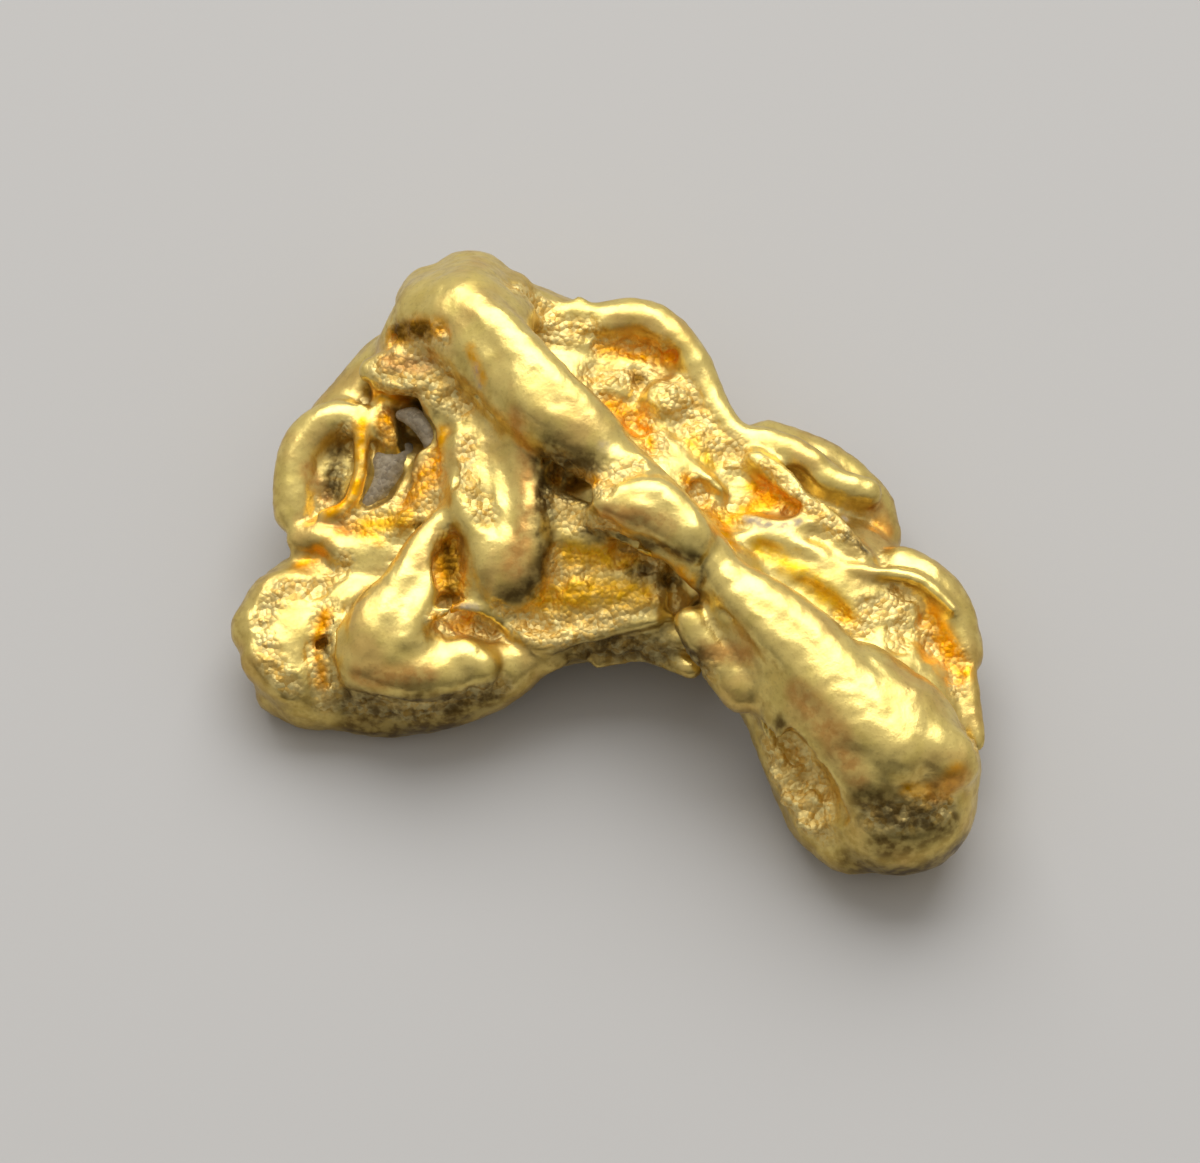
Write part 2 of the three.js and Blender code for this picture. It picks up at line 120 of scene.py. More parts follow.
FOLDS = {
    "second_ridge_edge": ((0.25, -0.05, 3.4, 0.2), (0.6, -0.15, 3.45, 0.22), (1, -0.4, 3.45, 0.22),
        (1.3, -0.65, 3.4, 0.2)),
    "finger_heel": ((-2.25, 0.1, 2.25, 0.2), (-2.2, -0.35, 2.1, 0.24), (-2.2, -0.7, 1.9, 0.22)),
    "crest_fill": ((-1.25, 4.15, 2.05, 0.3), (-0.85, 3.95, 1.95, 0.3), (-0.45, 3.8, 1.85, 0.25)),
    "rim_fill": ((1.1, 3.15, 1.75, 0.25), (1.3, 2.7, 1.7, 0.28), (1.55, 2.25, 1.65, 0.28),
        (1.8, 1.95, 1.7, 0.2)),
    "ledge_front": ((-3.65, 2.8, 2.55, 0.22), (-3.25, 2.75, 2.65, 0.24), (-2.8, 2.6, 2.65, 0.24)),
    "facet_d": ((-3.55, -1.7, 1.9, 0.3), (-3.1, -1.55, 1.9, 0.28)),
    "second_flank": ((-0.25, 0.15, 3.05, 0.26), (0.25, 0.05, 3, 0.34), (0.7, -0.2, 3.05, 0.34),
        (1.25, -0.45, 3, 0.28)),
    "trough_slab_low": ((-0.7, -0.7, 2, 0.32), (0, -0.7, 2, 0.36), (0.6, -0.85, 2.1, 0.3)),
    "trough_slab": ((-0.65, -0.3, 2.1, 0.3), (0, -0.35, 2.1, 0.34), (0.6, -0.4, 2.3, 0.3)),
    "trough_left": ((-0.85, -0.2, 2.15, 0.25), (-0.8, -0.5, 1.85, 0.32), (-1, -0.8, 1.6, 0.32),
        (-1.25, -0.95, 1.5, 0.28)),
    "knuckle_left": ((-0.95, 0.3, 2.4, 0.28), (-0.55, 0.1, 2.4, 0.3), (-0.15, 0.05, 2.5, 0.26)),
    "finger_side": ((-1.1, 1.35, 2.5, 0.26), (-1.05, 0.7, 2.3, 0.32), (-1, 0.2, 2.05, 0.36),
        (-1.1, -0.3, 1.85, 0.38), (-1.35, -0.65, 1.65, 0.36)),
    "finger_mid": ((-1.85, 1.7, 2.6, 0.24), (-1.8, 1, 2.5, 0.26), (-1.7, 0.3, 2.4, 0.3),
        (-1.7, -0.3, 2.2, 0.42), (-1.7, -0.6, 1.95, 0.46)),
    "second_ridge_mid": ((0.45, 0.2, 3.55, 0.25), (0.85, 0, 3.55, 0.28), (1.2, -0.3, 3.55, 0.28)),
    "limb_side": ((3, -2.5, 2.5, 0.5), (3.5, -3.2, 2.3, 0.62), (4.05, -3.85, 2, 0.72)),
    "shoulder_inner": ((2.3, 1.7, 1.95, 0.18), (2.7, 1.35, 2, 0.2), (3, 0.95, 2, 0.2),
        (3.4, 0.65, 1.95, 0.2), (3.75, 0.35, 1.9, 0.18), (4.05, 0.05, 1.8, 0.15)),
    "second_ridge_low": ((0.1, 0.05, 3.5, 0.22), (0.55, 0.05, 3.55, 0.26), (0.9, -0.2, 3.5, 0.28),
        (1.2, -0.5, 3.45, 0.26)),
    "ridge_left": ((-2.1, 3.25, 3.45, 0.3), (-1.8, 2.85, 3.5, 0.36), (-1.5, 2.35, 3.5, 0.42),
        (-1.15, 1.85, 3.5, 0.42), (-0.75, 1.6, 3.45, 0.4), (-0.35, 1.45, 3.4, 0.36)),
    "ridge_right": ((-2.4, 3.75, 3.4, 0.42), (-2, 3.35, 3.5, 0.45), (-1.55, 2.8, 3.5, 0.48),
        (-1.1, 2.25, 3.5, 0.48), (-0.6, 1.8, 3.4, 0.45), (-0.2, 1.45, 3.3, 0.4)),
    "left_fold": ((-2.85, 3.65, 2.9, 0.3), (-2.55, 3.2, 2.9, 0.25), (-2.35, 2.75, 2.8, 0.22),
        (-2.2, 2.3, 2.6, 0.2)),
    "pale_facet": ((-1.85, 2.4, 3.05, 0.25), (-1.7, 2.05, 2.9, 0.28)),
    "ledge": ((-3.85, 3.05, 2.4, 0.28), (-3.45, 3.05, 2.55, 0.34), (-2.95, 3, 2.6, 0.34),
        (-2.65, 2.7, 2.65, 0.26)),
    "ledge_low": ((-2.9, 2.45, 2.65, 0.18), (-2.6, 2.3, 2.6, 0.22), (-2.4, 2.1, 2.6, 0.18)),
    "finger_left": ((-2.2, 1.8, 2.55, 0.22), (-2.3, 1.2, 2.5, 0.28), (-2.3, 0.6, 2.45, 0.32),
        (-2.1, 0.2, 2.3, 0.36), (-1.9, -0.2, 2.2, 0.42), (-1.85, -0.45, 1.95, 0.46)),
    "finger_right": ((-1.6, 2, 3, 0.28), (-1.5, 1.65, 2.8, 0.32), (-1.35, 1, 2.55, 0.38),
        (-1.3, 0.3, 2.45, 0.4), (-1.35, -0.25, 2.25, 0.46), (-1.5, -0.55, 1.95, 0.5)),
    "finger_oval": ((-2.4, 1.75, 2.55, 0.22), (-2.4, 1.5, 2.5, 0.22)),
    "second_ridge": ((-0.1, 0.2, 3.45, 0.26), (0.25, 0.3, 3.5, 0.28), (0.65, 0.3, 3.55, 0.3),
        (1.1, -0.1, 3.55, 0.3), (1.35, -0.4, 3.5, 0.26)),
    "second_ridge_end": ((1.35, -0.45, 3.4, 0.2), (1.45, -0.6, 3.3, 0.2)),
    "ridge_lumps": ((-0.2, 0.8, 3.35, 0.2), (-0.15, 0.5, 3.35, 0.2)),
    "ridge_lump_b": ((0.25, 0.7, 3.4, 0.2), (0.45, 0.85, 3.5, 0.16)),
    "knuckle": ((-1, 0.6, 2.5, 0.26), (-0.65, 0.45, 2.5, 0.3), (-0.3, 0.3, 2.65, 0.26)),
    "outer_rim": ((-1.1, 4.15, 1.75, 0.35), (-0.2, 4.15, 1.95, 0.36), (0.45, 4.2, 2, 0.36),
        (0.9, 3.95, 1.95, 0.36), (1.25, 3.55, 1.9, 0.32), (1.45, 3.15, 1.8, 0.3),
        (1.65, 2.7, 1.75, 0.28), (1.95, 2.25, 1.75, 0.25), (2.05, 2, 1.75, 0.2)),
    "rim_inner": ((-0.6, 3.9, 2, 0.12), (-0.2, 4, 2.05, 0.12), (0.2, 4.05, 2, 0.1)),
    "crystal_a": ((-1.55, 4.7, 2.35, 0.2), (-1.4, 4.5, 2.35, 0.2), (-1.25, 4.4, 2.3, 0.16)),
    "crystal_b": ((-1, 4.35, 2.15, 0.18), (-0.65, 4.3, 2.1, 0.2), (-0.55, 4.45, 2.15, 0.14)),
    "shoulder_outer": ((2.2, 2.2, 1.7, 0.24), (2.75, 2, 1.75, 0.28), (3.25, 1.7, 1.75, 0.26)),
    "shoulder_outer_b": ((3.35, 1.5, 1.7, 0.26), (3.8, 1.35, 1.6, 0.28), (4.1, 1.3, 1.55, 0.26)),
    "shoulder_skirt": ((2.5, 2.4, 1.25, 0.35), (3.45, 2, 1.1, 0.4), (4.15, 1.35, 0.9, 0.42),
        (4.35, 0.9, 0.85, 0.35)),
    "right_lobe": ((4.65, 0, 1.35, 0.42), (5.05, -0.25, 1.35, 0.42), (5.4, -0.7, 1.25, 0.42),
        (5.6, -1.35, 1.1, 0.38)),
    "right_edge": ((5.6, -1.75, 1.2, 0.22), (5.7, -2.3, 1.15, 0.22), (5.8, -2.9, 1.1, 0.18)),
    "left_rim": ((-4.05, 2.25, 2, 0.22), (-4.3, 2.45, 1.95, 0.28), (-4.65, 2.4, 1.85, 0.34),
        (-5, 2.1, 1.7, 0.36), (-5.15, 1.55, 1.55, 0.36), (-5.15, 1, 1.4, 0.34)),
    "pocket_ridge": ((-2.9, 2.35, 2.4, 0.2), (-2.75, 1.9, 2.35, 0.18), (-2.65, 1.4, 2.3, 0.18),
        (-2.6, 0.75, 2.2, 0.2)),
    "slope": ((-3, 1.6, 2.1, 0.24), (-3, 1, 1.95, 0.3), (-3.35, 0.65, 1.8, 0.3)),
    "slope_low": ((-3.85, 0.6, 1.55, 0.25), (-3.5, 0.45, 1.6, 0.25)),
    "saddle": ((-5.05, 0.5, 1.45, 0.24), (-4.65, 0.5, 1.55, 0.26), (-4.3, 0.2, 1.55, 0.24)),
    "saddle_low": ((-5, 0, 1.15, 0.3), (-4.35, -0.05, 1.2, 0.3), (-3.9, 0.05, 1.4, 0.25)),
    "toe_crest": ((-5.6, -0.9, 1.05, 0.55), (-5.2, -0.4, 1.15, 0.55), (-4.7, -0.5, 1.2, 0.4)),
    "facet_a": ((-2.75, 0.45, 2.25, 0.22), (-3, 0.05, 2.15, 0.32), (-3.3, -0.55, 2, 0.42),
        (-3.55, -1.05, 1.9, 0.45), (-3.75, -1.4, 1.85, 0.45)),
    "facet_b": ((-2.95, -0.05, 2.15, 0.25), (-3, -0.65, 2.1, 0.28), (-3.1, -1, 2.1, 0.28),
        (-3.35, -1.5, 1.95, 0.35)),
    "facet_c": ((-3.65, -0.8, 1.95, 0.36), (-3.9, -1.2, 1.9, 0.38), (-3.9, -1.55, 1.85, 0.36)),
    "foot_knob": ((-2.75, -1.75, 1.65, 0.34), (-2.4, -1.7, 1.7, 0.37), (-2.1, -1.85, 1.65, 0.33)),
    "trough_floor": ((-1.1, -0.9, 1.65, 0.35), (-0.35, -0.95, 1.75, 0.38), (0.45, -1, 1.9, 0.32)),
    "yellow_ridge": ((1.95, 0.25, 1.95, 0.14), (2.6, 0.3, 2, 0.14), (3.2, 0.05, 1.95, 0.14),
        (3.6, -0.15, 1.85, 0.14)),
    "film_ridge": ((2.1, 0.65, 1.95, 0.14), (2.6, 0.5, 2, 0.14), (3.2, 0.55, 1.95, 0.14)),
    "limb_crest": ((1.85, -0.95, 2.95, 0.42), (2.6, -1.5, 2.75, 0.56), (3.3, -2.15, 2.6, 0.62),
        (3.95, -2.9, 2.5, 0.64), (4.65, -3.35, 2.35, 0.62), (5.25, -3.7, 2.2, 0.55)),
    "limb_crest_b": ((1.95, -1.25, 3.05, 0.3), (2.6, -1.85, 2.85, 0.42), (3.25, -2.5, 2.65, 0.54),
        (3.8, -3.15, 2.5, 0.62), (4.45, -3.6, 2.35, 0.66)),
    "limb_fold": ((1.2, -1.45, 2.6, 0.26), (1.4, -1.75, 2.45, 0.3), (1.7, -2.05, 2.25, 0.36),
        (2.05, -2.4, 2.05, 0.4)),
}

CREASES = {
    "foot_line": ((-4.3, -2.1, 1.3, 0.07), (-3.9, -2.2, 1.4, 0.08), (-3.25, -2.35, 1.5, 0.08),
        (-2.6, -2.25, 1.45, 0.08), (-2.05, -2.2, 1.55, 0.07)),
    "blade_top": ((2.85, -3.35, 2.3, 0.2), (3, -3.7, 2.2, 0.34), (3.25, -4.1, 2.05, 0.38),
        (3.4, -4.5, 1.85, 0.33)),
    "layer_line_top": ((-0.45, -0.15, 2.5, 0.05), (0.1, -0.2, 2.55, 0.06), (0.65, -0.35, 2.65, 0.05)),
    "layer_line_low": ((0, -0.75, 2.35, 0.05), (0.45, -0.85, 2.4, 0.06), (0.8, -0.95, 2.4, 0.07)),
    "layer_line": ((-0.1, -0.35, 2.45, 0.05), (0.35, -0.4, 2.5, 0.06), (0.8, -0.5, 2.6, 0.06)),
    "trough_dig": ((0.2, -0.55, 2.4, 0.05), (0.6, -0.6, 2.5, 0.07), (1, -0.75, 2.6, 0.1)),
    "rim_valley": ((-4.35, 2.15, 2, 0.1), (-4.45, 1.7, 1.9, 0.13), (-4.6, 1.2, 1.8, 0.12)),
    "end_pricks_b": ((5, -4.45, 2.3, 0.06), (5.25, -4.5, 2.1, 0.08), (5.5, -4.35, 1.95, 0.07)),
    "end_pricks": ((4.1, -4.7, 2.2, 0.06), (4.45, -4.6, 2.3, 0.08), (4.7, -4.85, 2.2, 0.09)),
    "blade_hollow": ((2.55, -2.95, 1.9, 0.18), (2.8, -3.45, 1.85, 0.38), (3.05, -4, 1.8, 0.46),
        (3.25, -4.5, 1.85, 0.45), (3.3, -4.8, 1.7, 0.3)),
    "bowl_edge": ((-1.1, -0.8, 1.75, 0.06), (-1.5, -1, 1.8, 0.06)),
    "finger_groove": ((-2.05, 1.9, 3.3, 0.06), (-1.85, 1.7, 3.1, 0.07)),
    "ridge_groove": ((-2.7, 3.55, 3.55, 0.08), (-2.4, 3.1, 3.4, 0.1), (-2.2, 2.6, 3.3, 0.1),
        (-2.15, 2.15, 3.15, 0.09), (-1.85, 1.85, 3.1, 0.08)),
    "rock_pocket": ((-3.35, 1.75, 2, 0.17), (-3.6, 1.55, 1.95, 0.28), (-3.75, 1.2, 1.9, 0.24),
        (-4.1, 0.95, 1.8, 0.13)),
    "arc_recess": ((-4.05, 2.7, 2.35, 0.08), (-3.85, 2.6, 2.35, 0.09), (-3.65, 2.7, 2.35, 0.07)),
    "crescent_slot": ((-3.4, 2.35, 2.35, 0.1), (-3.15, 2.25, 2.4, 0.12), (-2.95, 2, 2.4, 0.12),
        (-2.8, 1.55, 2.3, 0.1)),
    "spine_foot": ((0.3, 1.8, 2.7, 0.14), (0.85, 1.2, 2.55, 0.14), (1.4, 0.25, 2.5, 0.12),
        (1.9, -0.35, 2.5, 0.12)),
    "limb_foot": ((2.05, -0.45, 2.6, 0.12), (2.85, -0.85, 2.35, 0.13), (3.7, -1.35, 2.1, 0.13),
        (4.35, -1.55, 1.95, 0.12), (5, -1.75, 1.75, 0.12), (5.4, -2.25, 1.6, 0.11),
        (5.6, -2.8, 1.5, 0.11), (5.8, -3.15, 1.3, 0.1)),
    "limb_line": ((1.45, -1.3, 3, 0.06), (1.75, -1.5, 2.95, 0.07), (2.1, -1.75, 2.9, 0.06),
        (2.4, -2, 2.9, 0.04)),
    "toe_crease": ((-4.1, -0.4, 1.8, 0.1), (-4.3, -0.9, 1.75, 0.12), (-4.45, -1.4, 1.7, 0.11),
        (-4.5, -1.75, 1.6, 0.11), (-4.45, -2, 1.4, 0.1), (-4.35, -2.25, 1.1, 0.1),
        (-4.25, -2.4, 0.75, 0.08)),
    "saddle_crease": ((-5.05, 0.8, 1.85, 0.08), (-4.6, 0.75, 1.85, 0.08), (-4.2, 0.85, 1.9, 0.08)),
    "saddle_dip": ((-5, 0.15, 1.75, 0.1), (-4.45, 0, 1.8, 0.11), (-3.95, 0.2, 1.9, 0.09)),
    "finger_crease": ((-2.6, 1.9, 2.75, 0.08), (-2.55, 1.15, 2.65, 0.09), (-2.5, 0.6, 2.6, 0.08)),
    "shoulder_groove": ((2.55, 1.8, 2.2, 0.08), (3.1, 1.45, 2.15, 0.08), (3.65, 1.05, 2.05, 0.08),
        (4.05, 0.75, 1.9, 0.07)),
    "junction": ((1.7, -0.5, 3.4, 0.08), (1.55, -0.7, 3.45, 0.09), (1.4, -0.9, 3.3, 0.1),
        (1.3, -1.05, 3, 0.11), (1.15, -1.15, 2.6, 0.1)),
    "foot_crack": ((-3.1, -1.1, 2.45, 0.05), (-3.2, -1.35, 2.4, 0.06), (-3.35, -1.6, 2.35, 0.05)),
    "foot_arch": ((-2.9, -1.45, 2.2, 0.07), (-2.55, -1.25, 2.2, 0.07), (-2.05, -1.25, 2.1, 0.07),
        (-1.85, -1.55, 1.9, 0.07)),
    "foot_recess": ((-1.75, -1.25, 1.75, 0.12), (-1.35, -1.45, 1.65, 0.14), (-0.95, -1.5, 1.6, 0.1)),
    "trough_shade": ((-0.7, -0.1, 2.7, 0.08), (-0.4, -0.1, 2.9, 0.11), (0, -0.15, 3, 0.13),
        (0.45, -0.3, 3.05, 0.13), (0.9, -0.45, 3.05, 0.12), (1.25, -0.6, 3, 0.1)),
    "knuckle_dark": ((-1.05, 1.3, 2.95, 0.12), (-0.7, 1.15, 3.05, 0.16), (-0.35, 1, 3.1, 0.12)),
    "under_lip": ((-0.65, -1.5, 1.8, 0.08), (-0.2, -1.35, 1.9, 0.1), (0.45, -1.25, 2.05, 0.11),
        (0.9, -1.2, 2.15, 0.1)),
    "yellow_trough": ((2.4, -0.2, 2.4, 0.3), (3.05, -0.65, 2.2, 0.36), (3.8, -1.1, 2.1, 0.34)),
    "tongue_under": ((1.25, 1.4, 2, 0.08), (1.6, 1.15, 1.95, 0.08)),
}

LAYERS = {
    "blade_grain_f": ((2.55, -3.4, 1.3, 0.1), (2.6, -3.6, 1.3, 0.12)),
    "blade_grain_e": ((3, -4.4, 1.3, 0.14), (3.15, -4.5, 1.3, 0.12)),
    "blade_grain_d": ((3.1, -3.9, 1.4, 0.12), (3.2, -4.1, 1.4, 0.13)),
    "blade_grain_c": ((2.75, -3.9, 1.3, 0.12), (2.95, -4.1, 1.3, 0.14)),
    "blade_grain_b": ((2.75, -3.6, 1.35, 0.13), (2.95, -3.55, 1.45, 0.12)),
    "blade_grain_a": ((2.5, -3.15, 1.5, 0.12), (2.7, -3.35, 1.5, 0.14)),
    "trough_e": ((0.25, -0.9, 1.9, 0.11), (0.6, -1, 2, 0.12), (0.9, -1.1, 2, 0.1)),
    "trough_rim": ((-1.8, -1, 1.75, 0.13), (-1.45, -1.3, 1.75, 0.16), (-1.1, -1.45, 1.75, 0.18),
        (-0.65, -1.35, 1.8, 0.18), (-0.25, -1.3, 1.85, 0.18), (0.15, -1.2, 1.95, 0.16),
        (0.65, -1.15, 2.05, 0.16)),
    "under_fold": ((-0.2, -1.4, 1.45, 0.13), (0.5, -1.3, 1.6, 0.13), (1.25, -1.45, 1.8, 0.15)),
    "under_layer": ((-0.2, -1.5, 1.2, 0.15), (0.5, -1.45, 1.3, 0.15), (1.25, -1.75, 1.4, 0.18)),
    "leaf": ((-0.85, -1.55, 1.4, 0.08), (-0.65, -1.45, 1.45, 0.11), (-0.45, -1.55, 1.4, 0.08)),
    "foot_rim": ((-1.4, -1.85, 1.25, 0.09), (-1.05, -1.7, 1.3, 0.1), (-0.8, -1.6, 1.35, 0.09)),
    "pocket_wall": ((-4.05, 2.5, 2.1, 0.14), (-4.05, 1.9, 2, 0.14), (-4.1, 1.3, 1.9, 0.14),
        (-4.3, 0.9, 1.8, 0.14), (-4.65, 0.8, 1.7, 0.12)),
    "tongue": ((1.05, 1.6, 1.95, 0.14), (1.35, 1.45, 2, 0.11), (1.6, 1.25, 2, 0.08),
        (1.8, 1.1, 1.95, 0.05)),
    "lobe_line": ((3.55, -0.2, 1.85, 0.11), (4.1, -0.25, 1.85, 0.12), (4.85, -0.35, 1.8, 0.12),
        (5.2, -0.6, 1.75, 0.1), (5.45, -0.85, 1.7, 0.08)),
    "facet_edge": ((-2.65, -1.1, 2.2, 0.1), (-3, -1.25, 2.15, 0.14), (-3.3, -1.55, 2.15, 0.14)),
    "toe_arc": ((-2.55, -0.95, 2, 0.09), (-2.15, -0.95, 1.95, 0.1), (-1.8, -1.1, 1.85, 0.09)),
}

ROCK = {
    "patch": ((-3.35, 1.95, 1.6, 0.2), (-3.6, 1.75, 1.6, 0.34), (-3.75, 1.4, 1.55, 0.28),
        (-4.1, 1.05, 1.55, 0.17)),
    "crescent": ((-3.4, 2.4, 2.15, 0.11), (-3.25, 2.35, 2.2, 0.16), (-3, 2.1, 2.2, 0.17),
        (-2.9, 1.85, 2.1, 0.14), (-2.8, 1.6, 2.05, 0.11)),
}

BULK = {
    "left_body": ((-3.6, 1, 0.95), (1.45, 1.9, 0.95), 0),
    "upper_body": ((-1.4, 2.9, 1.1), (1.9, 1.7, 1.15), 0),
    "middle": ((0.3, 1.2, 1.2), (1.9, 1.7, 1.1), -35),
    "right_body": ((3, 0, 1), (2.4, 1.3, 1), -38),
    "web": ((4.4, -1.8, 0.95), (1.7, 0.9, 0.8), -50),
    "foot_body": ((-4, -0.8, 0.85), (1.3, 1.2, 0.9), 0),
    "foot_web": ((-2.4, -0.8, 1.05), (1.2, 0.75, 0.7), 0),
    "arch": ((-0.6, -0.2, 1.4), (1.5, 0.7, 0.5), 0),
}

KNOBS = {
    "shoulder_fill": ((3.45, 1.6, 1.55), (0.4, 0.25, 0.32), -35),
    "ridge_lump_c": ((-0.2, 0.5, 3.45), (0.16, 0.14, 0.2), 0),
    "nub_top": ((-3.8, 2.55, 1.9), (0.16, 0.2, 0.3), 0),
    "recess_floor": ((-0.65, 1.3, 2.2), (0.45, 0.25, 0.36), 0),
    "arc_sand": ((-3.4, 2.8, 2.05), (0.5, 0.16, 0.36), 0),
    "amber_floor": ((-2.6, -0.2, 1.75), (0.34, 0.62, 0.34), 4),
    "pocket_nub": ((-3.65, 2.25, 1.9), (0.22, 0.48, 0.4), 15),
    "orange_knob": ((0, 3.05, 1.75), (0.34, 0.36, 0.34), 0),
    "plateau_sand": ((0.9, 2.75, 1.85), (0.45, 0.4, 0.38), 0),
    "plateau_sand_low": ((1.4, 2, 1.7), (0.5, 0.42, 0.36), -30),
    "plateau_lump": ((1.95, 1.65, 1.75), (0.18, 0.16, 0.22), 0),
    "lobe_sand": ((4.45, -0.8, 1.4), (0.5, 0.42, 0.34), -20),
    "shoulder_lump": ((1.85, 0.55, 1.75), (0.22, 0.26, 0.25), 20),
    "shoulder_floor": ((2.65, 1.05, 1.5), (0.6, 0.3, 0.3), -25),
}

POCKETS = {
    "pit_e": ((-3.25, 3.55, 3.1), (0.1, 0.07, 0.12), 10),
    "pit_b": ((-3.2, 3.35, 3), (0.16, 0.09, 0.14), -10),
    "pit_a": ((-3.5, 3.5, 2.75), (0.14, 0.1, 0.16), 20),
    "plateau_nick": ((0.45, 3.15, 2.05), (0.1, 0.16, 0.25), 20),
    "plateau_slot_b": ((0.85, 3.5, 2.15), (0.28, 0.1, 0.25), 12),
    "knuckle_pit_b": ((-0.85, 1.15, 2.75), (0.12, 0.1, 0.2), 0),
    "knuckle_pit": ((-0.55, 1, 2.75), (0.2, 0.12, 0.2), -25),
    "pit_nook": ((-4, 2.8, 2.3), (0.12, 0.14, 0.3), 0),
    "plateau_slot": ((0.05, 3.6, 2.15), (0.4, 0.11, 0.25), -4),
    "plateau_dip": ((0.35, 2.35, 2.2), (0.24, 0.36, 0.38), 25),
    "spine_pocket": ((1.4, 1, 2.2), (0.2, 0.25, 0.35), 30),
    "orange_pit": ((2.85, 0.8, 2), (0.2, 0.12, 0.2), -30),
    "toe_pit": ((-4.65, -1.35, 1.35), (0.14, 0.14, 0.4), 0),
    "lobe_dip": ((5.15, -1.4, 1.75), (0.28, 0.42, 0.4), 20),
    "seam_pit_a": ((3.8, 0.35, 1.95), (0.09, 0.07, 0.2), -30),
    "seam_pit_b": ((4.05, 0.2, 1.9), (0.08, 0.06, 0.2), -30),
    "amber_pit": ((-2.65, -0.45, 2.4), (0.24, 0.5, 0.4), 4),
    "trough_hole": ((1.1, -0.85, 2.4), (0.17, 0.19, 0.42), 20),
    "amber_hollow": ((-3.25, 1.95, 2.1), (0.2, 0.1, 0.22), 0),
}

